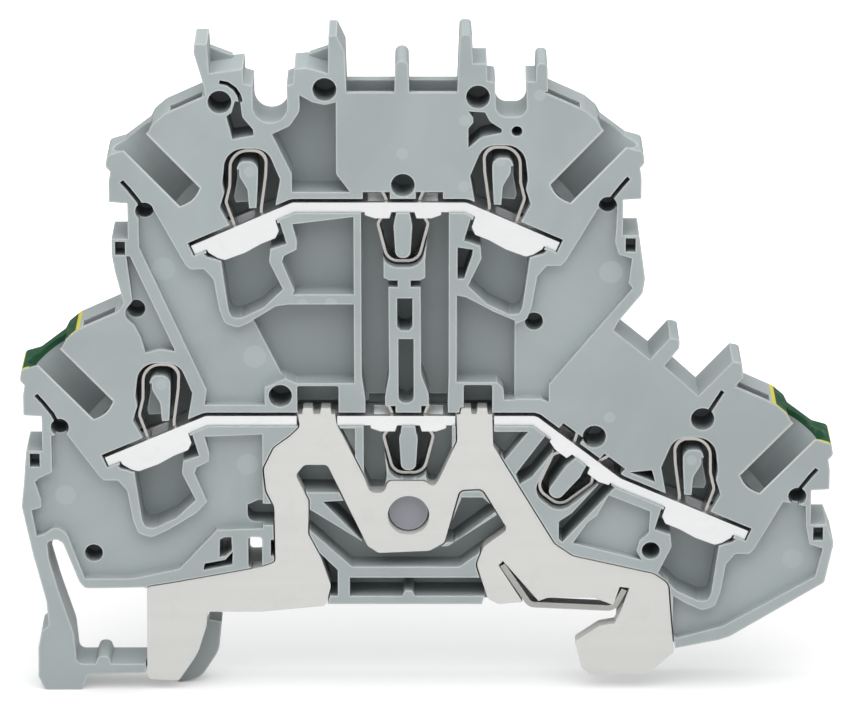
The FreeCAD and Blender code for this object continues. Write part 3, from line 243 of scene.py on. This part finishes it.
@dataclass
class SharedGroups:
    """Shader effects that several finishes use, each made once.

    A span holds the value at which a mask starts and the value at which it is whole.

    Attributes:
        mottle: Span of the flow marks, in the flow noise.
        gloss_shares: How much the flow and the fine grain add to the gloss.
        outward: Span of open surroundings, which tells edges from inner corners.
        around_edge: How far those surroundings go, in reaches of the edge.
        sharp: Span of the cosine between the face and its rounded edge.
        shut: Span of narrow hollows, as the open share of their surroundings.
        lines: Scale, detail and roughness of the rolling lines.
        handling: The same of the scuffs.
        scuffs: Span of the scuffs, in their noise.
        made: The groups that are made, by name.
    """

    mottle: Span = (0.3, 0.7)
    gloss_shares: Span = (0.6, 0.4)
    outward: Span = (0.7, 0.92)
    around_edge: float = 1.6
    sharp: Span = (0.994, 0.92)
    shut: Span = (0.36, 0.08)
    lines: tuple[float, float, float] = (60.0, 4.0, 0.6)
    handling: tuple[float, float, float] = (420.0, 5.0, 0.65)
    scuffs: Span = (0.52, 0.7)
    made: dict[str, bpy.types.NodeTree] = field(default_factory=dict)

    def group(self, name: str, inputs: dict[str, float], outputs: Sequence[str]) -> tuple[Nodes, bool]:
        """Make an empty group with named sockets, or give the one that exists.

        Args:
            name: The group's name.
            inputs: Float inputs and their usual values.
            outputs: Float outputs.

        Returns:
            The group's nodes, and True where it still has to be filled.
        """
        if name in self.made:
            return Nodes(self.made[name]), False
        tree = bpy.data.node_groups.new(name, "ShaderNodeTree")
        for label, value in inputs.items():
            socket = tree.interface.new_socket(label, in_out="INPUT", socket_type="NodeSocketFloat")
            socket.default_value = value
        for label in outputs:
            tree.interface.new_socket(label, in_out="OUTPUT", socket_type="NodeSocketFloat")
        self.made[name] = tree
        return Nodes(tree), True

    def moulding_grain(self) -> bpy.types.NodeTree:
        """Fine spark-eroded grain and slow flow marks of moulded plastic.

        Returns:
            A group with outputs Height, Mottle and Gloss.
        """
        nodes, new = self.group("moulding_grain", {"Grain Scale": 5200.0, "Flow Scale": 90.0},
                                ("Height", "Mottle", "Gloss"))
        if not new:
            return nodes.tree
        enter = nodes.add("NodeGroupInput").outputs
        leave = nodes.add("NodeGroupOutput").inputs
        place = nodes.place()
        fine = nodes.noise(place, enter["Grain Scale"], 2.0)
        flow = nodes.noise(place, enter["Flow Scale"], 4.0, distortion=1.2)
        nodes.join(fine, leave["Height"])
        nodes.join(nodes.ramp(flow, *self.mottle), leave["Mottle"])
        flow_gloss, fine_gloss = (nodes.math("MULTIPLY", noise, share)
                                  for noise, share in zip((flow, fine), self.gloss_shares))
        nodes.join(nodes.math("ADD", flow_gloss, fine_gloss), leave["Gloss"])
        return nodes.tree

    def edge_highlight_mask(self) -> bpy.types.NodeTree:
        """Where the surface turns sharply outwards, for the painted edge highlight: 1 on edges and 0 on
        flats and in corners.

        Returns:
            A group with the output Edge.
        """
        nodes, new = self.group("edge_highlight_mask", {"Reach": 0.22 * MM}, ("Edge",))
        if not new:
            return nodes.tree
        enter = nodes.add("NodeGroupInput").outputs
        leave = nodes.add("NodeGroupOutput").inputs
        bevel = nodes.add("ShaderNodeBevel", samples=3)
        nodes.join(enter["Reach"], bevel.inputs["Radius"])
        turn = nodes.add("ShaderNodeVectorMath", operation="DOT_PRODUCT")
        nodes.join(bevel.outputs["Normal"], turn.inputs[0])
        nodes.join(nodes.add("ShaderNodeNewGeometry").outputs["True Normal"], turn.inputs[1])
        around = nodes.add("ShaderNodeAmbientOcclusion", samples=2)
        nodes.join(nodes.math("MULTIPLY", enter["Reach"], self.around_edge), around.inputs["Distance"])
        outward = nodes.ramp(around.outputs["AO"], *self.outward)
        sharp = nodes.ramp(turn.outputs["Value"], *self.sharp)
        nodes.join(nodes.math("MULTIPLY", sharp, outward), leave["Edge"])
        return nodes.tree

    def crevice_shade_mask(self) -> bpy.types.NodeTree:
        """How shut in the surface is, for the painted shade in hollows: 1 in narrow hollows and 0 in the
        open.

        Returns:
            A group with the output Shut.
        """
        nodes, new = self.group("crevice_shade_mask", {"Reach": 5.0 * MM}, ("Shut",))
        if not new:
            return nodes.tree
        enter = nodes.add("NodeGroupInput").outputs
        leave = nodes.add("NodeGroupOutput").inputs
        around = nodes.add("ShaderNodeAmbientOcclusion", samples=3)
        nodes.join(enter["Reach"], around.inputs["Distance"])
        nodes.join(nodes.ramp(around.outputs["AO"], *self.shut), leave["Shut"])
        return nodes.tree

    def strip_grain(self) -> bpy.types.NodeTree:
        """Fine lines that rolling leaves on sheet metal, with a few handling scuffs.

        Returns:
            A group with outputs Lines and Scuffs.
        """
        nodes, new = self.group("strip_grain", {"Along X": 60.0, "Along Y": 60.0, "Along Z": 60.0},
                                ("Lines", "Scuffs"))
        if not new:
            return nodes.tree
        enter = nodes.add("NodeGroupInput").outputs
        leave = nodes.add("NodeGroupOutput").inputs
        place = nodes.place()
        stretch = nodes.add("ShaderNodeCombineXYZ")
        for axis in "XYZ":
            nodes.join(enter[f"Along {axis}"], stretch.inputs[axis])
        scaled = nodes.add("ShaderNodeVectorMath", operation="MULTIPLY")
        nodes.join(place, scaled.inputs[0])
        nodes.join(stretch.outputs["Vector"], scaled.inputs[1])
        nodes.join(nodes.noise(scaled.outputs["Vector"], *self.lines), leave["Lines"])
        nodes.join(nodes.ramp(nodes.noise(place, *self.handling), *self.scuffs), leave["Scuffs"])
        return nodes.tree


GROUPS = SharedGroups()


def use_group(nodes: Nodes, tree: bpy.types.NodeTree, **values: float) -> Sockets:
    """Place a shared group in a material.

    Args:
        nodes: The material's nodes.
        tree: The group.
        values: Input values, with underscores for spaces.

    Returns:
        The group's outputs.
    """
    node = nodes.add("ShaderNodeGroup")
    node.node_tree = tree
    for name, value in values.items():
        node.inputs[name.replace("_", " ")].default_value = value
    return node.outputs


def new_material(name: str) -> tuple[bpy.types.Material, Nodes, bpy.types.Node]:
    """Make a node material.

    Args:
        name: The material's name.

    Returns:
        The material, its nodes and its Principled shader.
    """
    material = bpy.data.materials.new(name)
    material.use_nodes = True
    nodes = Nodes(material.node_tree)
    shader = next(node for node in material.node_tree.nodes if node.type == "BSDF_PRINCIPLED")
    return material, nodes, shader


# Finishes


@dataclass(frozen=True)
class GroundPrint:
    """Green and yellow print round a ground entry at one end of the block.

    The print covers the sloped face and the mouth of the entry. Yellow closes it at both ends and
    runs a little way along the front rim. Lengths are in millimetres.

    Attributes:
        end: The end of the block that it is on.
        level: How far from the block's origin the sloped face lies, square to the face.
        left: Where the print begins along X.
        right: Where it stops along X.
        line: How far from each end the yellow runs along the front rim.
        lean: Parts of the sloped face's direction along X and Z.
        rim: Width of the yellow.
        bare: Width of the front edge that takes no ink.
        blur: How sharp the yellow ends are.
        line_fade: How softly the yellow of the front rim runs out.
        blot_scale: Fineness of the places where the ink is thin.
        blots: Span of those places, in their noise.
        thinnest: Share of ink that is left there.
        dullness: What the ink adds to the plastic's roughness.
    """

    end: End
    level: float
    left: float
    right: float
    line: float
    green: Colour = (0.001, 0.062, 0.02)
    yellow: Colour = (0.6, 0.54, 0.055)
    lean: tuple[float, float] = (0.6, 0.8)
    rim: float = 0.34
    bare: float = 0.015
    blur: float = 0.03
    line_fade: float = 0.1
    blot_scale: float = 900.0
    blots: Span = (0.3, 0.45)
    thinnest: float = 0.9
    dullness: float = 0.35

    def half(self) -> float:
        """Give half of the print's length, in metres."""
        return (self.right - self.left) / 2.0 * MM

    def along(self, nodes: Nodes) -> Socket:
        """Measure how far a point lies from the print's middle along X, in metres."""
        middle = (self.left + self.right) / 2.0 * MM
        return nodes.math("ABSOLUTE", nodes.math("SUBTRACT", nodes.split(nodes.place())["X"], middle))

    def from_ends(self, nodes: Nodes, width: float, fade: float) -> Socket:
        """Mark a band at each end of the print.

        Args:
            nodes: The material's nodes.
            width: Width of the bands.
            fade: Half of the width that they fade out over.

        Returns:
            A mask, 1 in the bands.
        """
        clear = self.half() - (width + fade) * MM
        whole = self.half() - (width - fade) * MM
        return nodes.ramp(self.along(nodes), clear, whole)

    def printed(self, nodes: Nodes) -> Socket:
        """Find the printed surface.

        Args:
            nodes: The material's nodes.

        Returns:
            A mask, 1 where the ink is whole and less where it is thin.
        """
        place = nodes.place()
        height = nodes.add("ShaderNodeVectorMath", operation="DOT_PRODUCT")
        nodes.join(place, height.inputs[0])
        height.inputs[1].default_value = (self.end.value * self.lean[0], 0.0, self.lean[1])
        outside = nodes.math("GREATER_THAN", height.outputs["Value"], self.level * MM)
        behind_front = nodes.math("GREATER_THAN", nodes.split(place)["Y"], (FRONT_FACE + self.bare) * MM)
        within = nodes.math("LESS_THAN", self.along(nodes), self.half())
        whole = nodes.math("MULTIPLY", nodes.math("MULTIPLY", outside, behind_front), within)
        blots = nodes.noise(place, self.blot_scale, 4.0)
        return nodes.math("MULTIPLY", whole, nodes.ramp(blots, *self.blots, self.thinnest, 1.0))

    def ink(self, nodes: Nodes) -> Socket:
        """Colour the ink: green with yellow ends and a yellow front rim.

        Args:
            nodes: The material's nodes.

        Returns:
            The ink's colour.
        """
        inner = FRONT_FACE + self.rim
        front = nodes.ramp(nodes.split(nodes.place())["Y"], (inner + self.blur) * MM,
                           (inner - self.blur) * MM)
        front_rim = nodes.math("MULTIPLY", front, self.from_ends(nodes, self.line, self.line_fade))
        yellow = nodes.math("MAXIMUM", self.from_ends(nodes, self.rim, self.blur), front_rim)
        return nodes.mix(yellow, self.green, self.yellow)


@dataclass(frozen=True)
class MouldedPlastic:
    """Grey moulded polyamide with a fine grain, soft edges and faint ejector marks.

    Floors of middle depth that face the open side and narrow hollows carry painted shade, and open edges a
    painted highlight.
    Lengths are in millimetres, and depths are places along Y.

    Attributes:
        marks: Ejector marks, each with its middle along X, its height and its radius.
        prints: Ground prints on the moulding.
        boss: The face of the foot's boss, given as a mark is.
        flow: Shares of the colour in the dark and the light flow marks.
        mark_tint: Share of the colour on the ejector marks.
        mark_strength: How much of that tint shows.
        spot_blur: Half of the width that marks fade out over.
        spot_depth: The depth past which no mark shows.
        facing: Turn along Y past which a surface is a floor.
        painted_floor_shade: Share of the colour on the floors of middle depth, as painted shade.
        middle: Depths between which that tint comes in.
        deep: Depths between which it goes again.
        deep_share: How much of it is left on the deep floors.
        last_floor: The depth past which only sockets and springs have floors.
        crevice_shade_share: Share of the colour in narrow hollows, as painted shade.
        floor_spared: How much of that painted shade the floors are spared.
        edge_highlight_strength: How much of the painted highlight on the open edges shows.
        gloss: Span of the gloss noise that the roughness follows.
        swing: How far the roughness goes down and up.
        edge_radius: Radius of the rounded edges.
        grain_strength: Share of the grain's height that shows.
        grain_depth: Depth of the grain.
    """

    name: str
    colour: Colour
    # Painted highlight on the open edges.
    edge_highlight_colour: Colour
    marks: tuple[Spot, ...]
    prints: tuple[GroundPrint, ...]
    boss: Spot = (0.0, 8.9, 1.79)
    # Painted shade with a bluish painted reflection on the boss face in the foot's hole.
    boss_shade_colour: Colour = (0.29, 0.3, 0.335)
    roughness: float = 0.42
    flow: Span = (0.94, 1.05)
    mark_tint: float = 1.2
    mark_strength: float = 0.6
    spot_blur: float = 0.06
    spot_depth: float = -0.5
    facing: float = -0.9
    # Painted shade on the floors of middle depth.
    painted_floor_shade: float = 0.72
    middle: Span = (-1.3, -0.9)
    deep: Span = (-0.2, 0.2)
    deep_share: float = 0.15
    last_floor: float = 0.9
    # Painted shade in narrow hollows.
    crevice_shade_share: float = 0.4
    floor_spared: float = 0.85
    edge_highlight_strength: float = 0.9
    gloss: Span = (0.2, 0.8)
    swing: Span = (0.06, 0.1)
    edge_radius: float = 0.1
    grain_strength: float = 0.12
    grain_depth: float = 0.02

    def disc(self, nodes: Nodes, spot: Spot) -> Socket:
        """Mark a round spot that is seen from the open side.

        Args:
            nodes: The material's nodes.
            spot: Its middle along X, its height and its radius.

        Returns:
            A mask, 1 inside the spot.
        """
        x, z, radius = spot
        axes = nodes.split(nodes.place())
        flat = nodes.add("ShaderNodeCombineXYZ")
        nodes.join(axes["X"], flat.inputs["X"])
        nodes.join(axes["Z"], flat.inputs["Z"])
        away = nodes.add("ShaderNodeVectorMath", operation="DISTANCE")
        nodes.join(flat.outputs["Vector"], away.inputs[0])
        away.inputs[1].default_value = (x * MM, 0.0, z * MM)
        inside = nodes.ramp(away.outputs["Value"], (radius + self.spot_blur) * MM,
                            (radius - self.spot_blur) * MM)
        seen = nodes.math("LESS_THAN", axes["Y"], self.spot_depth * MM)
        return nodes.math("MULTIPLY", inside, seen)

    def ejector_marks(self, nodes: Nodes) -> Socket:
        """Mark the discs that the ejector pins leave, with 1 inside them."""
        discs = [self.disc(nodes, mark) for mark in self.marks]
        return reduce(lambda first, second: nodes.math("MAXIMUM", first, second), discs)

    def floors(self, nodes: Nodes) -> tuple[Socket, Socket]:
        """Find the floors of the hollows that carry painted shade.

        Args:
            nodes: The material's nodes.

        Returns:
            A mask, 1 on the floors of middle depth and less on the deeper ones, and a mask, 1 on every
            floor that faces the open side, but for the sockets' and the springs'.
        """
        depth = nodes.split(nodes.place())["Y"]
        turn = nodes.split(nodes.add("ShaderNodeNewGeometry").outputs["True Normal"])
        facing = nodes.math("LESS_THAN", turn["Y"], self.facing)
        middle = nodes.ramp(depth, *(place * MM for place in self.middle))
        deep = nodes.ramp(depth, *(place * MM for place in self.deep), 1.0, self.deep_share)
        wide = nodes.math("LESS_THAN", depth, self.last_floor * MM)
        shade = nodes.math("MULTIPLY", nodes.math("MULTIPLY", middle, deep), facing)
        return shade, nodes.math("MULTIPLY", facing, wide)

    def pigment(self, nodes: Nodes, mottle: Socket) -> Socket:
        """Colour the bare plastic, with painted shade in hollows and on the boss, and painted edge
        highlights.

        Args:
            nodes: The material's nodes.
            mottle: A mask of the flow marks.

        Returns:
            The plastic's colour.
        """
        dark, light = (shaded(self.colour, share) for share in self.flow)
        colour = nodes.mix(mottle, dark, light)
        # Painted shade on the floors of middle depth, with less of it on the deeper floors.
        shade, wide_floor = self.floors(nodes)
        colour = nodes.mix(shade, colour, shaded(self.colour, self.painted_floor_shade))
        marked = nodes.math("MULTIPLY", self.ejector_marks(nodes), self.mark_strength)
        colour = nodes.mix(marked, colour, shaded(self.colour, self.mark_tint))
        # Painted shade with a bluish painted reflection on the face of the boss in the foot's hole.
        colour = nodes.mix(self.disc(nodes, self.boss), colour, self.boss_shade_colour)
        # Painted shade in narrow hollows, spared on most floors.
        shut = use_group(nodes, GROUPS.crevice_shade_mask())["Shut"]
        spared = nodes.math("SUBTRACT", 1.0, nodes.math("MULTIPLY", wide_floor, self.floor_spared))
        crevice = nodes.math("MULTIPLY", shut, spared)
        colour = nodes.mix(crevice, colour, shaded(self.colour, self.crevice_shade_share))
        # Painted highlight along the open edges, kept out of the hollows.
        edge = use_group(nodes, GROUPS.edge_highlight_mask())["Edge"]
        open_edge = nodes.math("MULTIPLY", edge, nodes.math("SUBTRACT", 1.0, shut))
        return nodes.mix(nodes.math("MULTIPLY", open_edge, self.edge_highlight_strength), colour, self.edge_highlight_colour)

    def material(self) -> bpy.types.Material:
        """Build the material.

        Returns:
            The material.
        """
        material, nodes, shader = new_material(self.name)
        grain = use_group(nodes, GROUPS.moulding_grain())
        colour = self.pigment(nodes, grain["Mottle"])
        down, up = self.swing
        roughness = nodes.ramp(grain["Gloss"], *self.gloss, self.roughness - down, self.roughness + up)
        for mark in self.prints:
            inked = mark.printed(nodes)
            colour = nodes.mix(inked, colour, mark.ink(nodes))
            dull = nodes.math("MULTIPLY", inked, mark.dullness)
            roughness = nodes.math("ADD", roughness, dull, clamp=True)
        nodes.join(colour, shader.inputs["Base Color"])
        nodes.join(roughness, shader.inputs["Roughness"])
        normal = nodes.relief(grain["Height"], self.edge_radius, self.grain_strength, self.grain_depth)
        nodes.join(normal, shader.inputs["Normal"])
        return material


@dataclass(frozen=True)
class SheetMetal:
    """Rolled sheet metal: plated copper, stamped steel or spring strip.

    Lengths are in millimetres.

    Attributes:
        grain: The way that the sheet was rolled.
        bump: Share of the rolling lines' height that shows.
        line_tint: How much of the scuffs' colour the rolling lines take.
        scuff_tint: How much of it the scuffs take.
        edge_reach: Width of the painted highlight on the edges.
        edge_highlight_tint: How much of the painted highlight on the edges shows.
        line_span: Span of the rolling lines that the roughness follows.
        swing: How far the roughness goes down and up.
        edge_radius: Radius of the rounded edges.
        line_depth: Depth of the rolling lines.
    """

    name: str
    colour: Colour
    scuff_colour: Colour
    roughness: float
    metallic: float
    grain: Grain = Grain.ALONG_X
    bump: float = 0.15
    # Painted highlight on the edges.
    edge_highlight_colour: Colour = (0.9, 0.9, 0.9)
    line_tint: float = 0.5
    scuff_tint: float = 0.35
    edge_reach: float = 0.07
    edge_highlight_tint: float = 0.5
    line_span: Span = (0.25, 0.75)
    swing: Span = (0.07, 0.08)
    edge_radius: float = 0.06
    line_depth: float = 0.015

    def material(self) -> bpy.types.Material:
        """Build the material.

        Returns:
            The material.
        """
        material, nodes, shader = new_material(self.name)
        x, y, z = self.grain.value
        strip = use_group(nodes, GROUPS.strip_grain(), Along_X=x, Along_Y=y, Along_Z=z)
        # The edge mask places a painted highlight on the edges.
        edge = use_group(nodes, GROUPS.edge_highlight_mask(), Reach=self.edge_reach * MM)["Edge"]
        colour = self.colour
        for mask, tint, strength in ((strip["Lines"], self.scuff_colour, self.line_tint),
                                     (strip["Scuffs"], self.scuff_colour, self.scuff_tint),
                                     (edge, self.edge_highlight_colour, self.edge_highlight_tint)):
            colour = nodes.mix(nodes.math("MULTIPLY", mask, strength), colour, tint)
        nodes.join(colour, shader.inputs["Base Color"])
        shader.inputs["Metallic"].default_value = self.metallic
        down, up = self.swing
        roughness = nodes.ramp(strip["Lines"], *self.line_span, self.roughness - down, self.roughness + up)
        nodes.join(roughness, shader.inputs["Roughness"])
        normal = nodes.relief(strip["Lines"], self.edge_radius, self.bump, self.line_depth)
        nodes.join(normal, shader.inputs["Normal"])
        return material


def dress(node: str, material: bpy.types.Material) -> None:
    """Give a solid's surface a material.

    Args:
        node: The solid's name.
        material: The material for all its slots.
    """
    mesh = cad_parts[node].data
    if not mesh.materials:
        mesh.materials.append(material)
    for index in range(len(mesh.materials)):
        mesh.materials[index] = material
    LOG.info("%s wears %s", node, material.name)


# Sub-assemblies


@dataclass
class HousingMoulding:
    """The grey housing with the print round its two ground entries.

    Ejector marks have their middle along X, their height and their radius, in millimetres.
    """

    node: str = "housing"
    colour: Colour = (0.365, 0.41, 0.415)
    # Painted highlight on the open edges of the moulding.
    edge_highlight_colour: Colour = (0.74, 0.76, 0.73)
    wide_marks: tuple[Spot, ...] = (
        (-20.9, 31.0, 1.0), (-13.2, 23.1, 1.0), (17.3, 30.7, 1.0), (-13.9, 13.3, 0.95),
        (-29.7, 10.5, 0.9), (33.4, 4.6, 0.9),
    )
    small_marks: tuple[Spot, ...] = (
        (-0.5, 41.5, 0.5), (4.8, 44.4, 0.5), (4.7, 38.6, 0.5), (17.3, 17.9, 0.5), (-9.0, 28.1, 0.5),
        (-6.6, 28.2, 0.5), (11.1, 46.6, 0.5), (7.8, 40.8, 0.45), (24.4, 14.0, 0.45),
        (-13.4, 39.9, 0.5), (-21.2, 20.9, 0.5),
    )
    prints: tuple[GroundPrint, ...] = (
        GroundPrint(End.LATCH, level=36.75, left=-33.45, right=-28.15, line=0.9),
        GroundPrint(End.JAW, level=33.3, left=31.3, right=36.75, line=2.3),
    )

    def build(self) -> None:
        """Dress the moulding."""
        finish = MouldedPlastic("grey_polyamide", self.colour, self.edge_highlight_colour,
                                self.wide_marks + self.small_marks, self.prints)
        dress(self.node, finish.material())


@dataclass
class CurrentBars:
    """The two tinned busbars."""

    nodes: tuple[str, ...] = ("upper_busbar", "lower_busbar")
    tin: SheetMetal = SheetMetal("tin_plating", (0.94, 0.945, 0.945), (0.8, 0.81, 0.82),
                                 roughness=0.34, metallic=0.85)

    def build(self) -> None:
        """Dress both busbars with one tin plating."""
        material = self.tin.material()
        for node in self.nodes:
            dress(node, material)


@dataclass
class ContactSprings:
    """Clamp springs, jumper springs and the foot's leaf spring."""

    clamps: tuple[str, ...] = ("upper_left_clamp_spring", "upper_right_clamp_spring",
                               "lower_left_clamp_spring", "lower_right_clamp_spring")
    jumpers: tuple[str, ...] = ("upper_jumper_spring", "lower_jumper_spring", "ramp_jumper_spring")
    leaf: str = "foot_spring"
    bright: SheetMetal = SheetMetal("spring_strip", (0.62, 0.6, 0.57), (0.45, 0.43, 0.41),
                                    roughness=0.26, metallic=1.0, grain=Grain.ACROSS_X, bump=0.2)
    dull: SheetMetal = SheetMetal("leaf_strip", (0.5, 0.49, 0.47), (0.35, 0.34, 0.33),
                                  roughness=0.3, metallic=1.0, bump=0.2)

    def build(self) -> None:
        """Dress the springs."""
        material = self.bright.material()
        for node in self.clamps + self.jumpers:
            dress(node, material)
        dress(self.leaf, self.dull.material())


@dataclass
class GroundFoot:
    """The stamped foot that grips the mounting and earths the lower busbar."""

    node: str = "ground_foot"
    matt: SheetMetal = SheetMetal("matt_tin", (0.72, 0.72, 0.7), (0.63, 0.63, 0.61),
                                  roughness=0.52, metallic=0.35, bump=0.1)

    def build(self) -> None:
        """Dress the foot with matt tin."""
        dress(self.node, self.matt.material())


# Studio


def stand(thing: bpy.types.Object, place: Point, target: Point) -> None:
    """Put a camera or a lamp in the scene and turn it to a point.

    Args:
        thing: The camera or the lamp.
        place: Where it stands, in metres.
        target: The point that it faces.
    """
    bpy.context.scene.collection.objects.link(thing)
    thing.location = place
    thing.rotation_euler = (Vector(target) - Vector(place)).to_track_quat("-Z", "Y").to_euler()


@dataclass(frozen=True)
class Softbox:
    """A rectangular lamp, with its place and size in metres."""

    name: str
    place: Point
    size: tuple[float, float]
    watts: float

    def hang(self, target: Point) -> None:
        """Hang the lamp.

        Args:
            target: The point that it faces.
        """
        data = bpy.data.lights.new(self.name, "AREA")
        data.shape = "RECTANGLE"
        data.size, data.size_y = self.size
        data.energy = self.watts
        stand(bpy.data.objects.new(self.name, data), self.place, target)


@dataclass(frozen=True)
class PaleFloor:
    """A pale floor that keeps the block's shadow and turns white to the camera further out.

    Lengths are in metres.

    Attributes:
        level: Height of the floor.
        reach: How far it goes from the block.
        tints: The two colours of its faint mottle.
        mottle_scale: Fineness of that mottle.
        glow: What the camera sees it glow with, under the block and further out.
        glow_reach: Between which distances the glow grows.
    """

    level: float
    reach: float = 3.0
    tints: tuple[Colour, Colour] = ((0.7, 0.7, 0.7), (0.73, 0.73, 0.73))
    mottle_scale: float = 3.0
    roughness: float = 0.9
    glow: Span = (0.3, 1.0)
    glow_reach: Span = (0.04, 0.17)

    def material(self) -> bpy.types.Material:
        """Build the floor's paint.

        Returns:
            The material.
        """
        material, nodes, shader = new_material("pale_floor")
        place = nodes.place()
        mottle = nodes.noise(place, self.mottle_scale, 3.0)
        nodes.join(nodes.mix(mottle, *self.tints), shader.inputs["Base Color"])
        shader.inputs["Roughness"].default_value = self.roughness
        away = nodes.add("ShaderNodeVectorMath", operation="LENGTH")
        nodes.join(place, away.inputs[0])
        glow = nodes.ramp(away.outputs["Value"], *self.glow_reach, *self.glow)
        seen = nodes.add("ShaderNodeLightPath").outputs["Is Camera Ray"]
        nodes.feed(shader.inputs["Emission Color"], WHITE)
        nodes.join(nodes.math("MULTIPLY", seen, glow), shader.inputs["Emission Strength"])
        return material

    def build(self) -> None:
        """Lay the floor."""
        mesh = bpy.data.meshes.new("floor")
        corners = ((-1, -1), (1, -1), (1, 1), (-1, 1))
        mesh.from_pydata([(x * self.reach, y * self.reach, self.level) for x, y in corners], [],
                         [(0, 1, 2, 3)])
        mesh.materials.append(self.material())
        obj = bpy.data.objects.new("floor", mesh)
        bpy.context.scene.collection.objects.link(obj)


@dataclass(frozen=True)
class Studio:
    """Floor, lamps and camera.

    Lengths are in metres, and the camera's lens and sensor are in millimetres.

    Attributes:
        middle: The point that the lamps face.
        tent: The tent's strength low down and overhead.
        tent_span: Upward part of the direction at which it starts and stops growing.
    """

    floor: PaleFloor
    middle: Point = (0.0, 0.0, 0.022)
    boxes: tuple[Softbox, ...] = (
        Softbox("top_box", (0.0, -0.08, 0.24), (0.45, 0.3), watts=0.66),
        Softbox("front_box", (-0.1, -0.9, 0.12), (0.8, 0.2), watts=0.7),
    )
    tent: Span = (0.32, 0.82)
    tent_span: Span = (0.1, 0.8)
    camera_place: Point = (0.00164, -0.4335, 0.1654)
    camera_target: Point = (0.00164, 0.0, 0.02225)
    lens: float = 223.0
    sensor: float = 36.0
    nearest: float = 0.01

    def camera(self) -> None:
        """Stand the camera at the photograph's angle."""
        data = bpy.data.cameras.new("camera")
        data.sensor_width = self.sensor
        data.lens = self.lens
        data.clip_start = self.nearest
        camera = bpy.data.objects.new("camera", data)
        stand(camera, self.camera_place, self.camera_target)
        bpy.context.scene.camera = camera

    def light_tent(self) -> None:
        """Hang a white tent that is brightest overhead."""
        world = bpy.data.worlds.new("studio")
        world.use_nodes = True
        nodes = Nodes(world.node_tree)
        sky = next(node for node in world.node_tree.nodes if node.type == "BACKGROUND")
        upward = nodes.split(nodes.add("ShaderNodeTexCoord").outputs["Generated"])["Z"]
        nodes.feed(sky.inputs["Color"], WHITE)
        nodes.join(nodes.ramp(upward, *self.tent_span, *self.tent), sky.inputs["Strength"])
        bpy.context.scene.world = world

    def build(self) -> None:
        """Set up the whole studio."""
        self.camera()
        self.floor.build()
        for box in self.boxes:
            box.hang(self.middle)
        self.light_tent()
        bpy.context.scene.view_settings.view_transform = "Standard"


def main() -> None:
    """Build every sub-assembly in order and report it."""
    logging.basicConfig(level=logging.INFO, format="%(message)s")
    Studio(PaleFloor(level=CAD_BOX[0][2])).build()
    for part in (HousingMoulding(), CurrentBars(), ContactSprings(), GroundFoot()):
        part.build()
        LOG.info("%s is done", type(part).__name__)


if __name__ == "__main__":
    main()
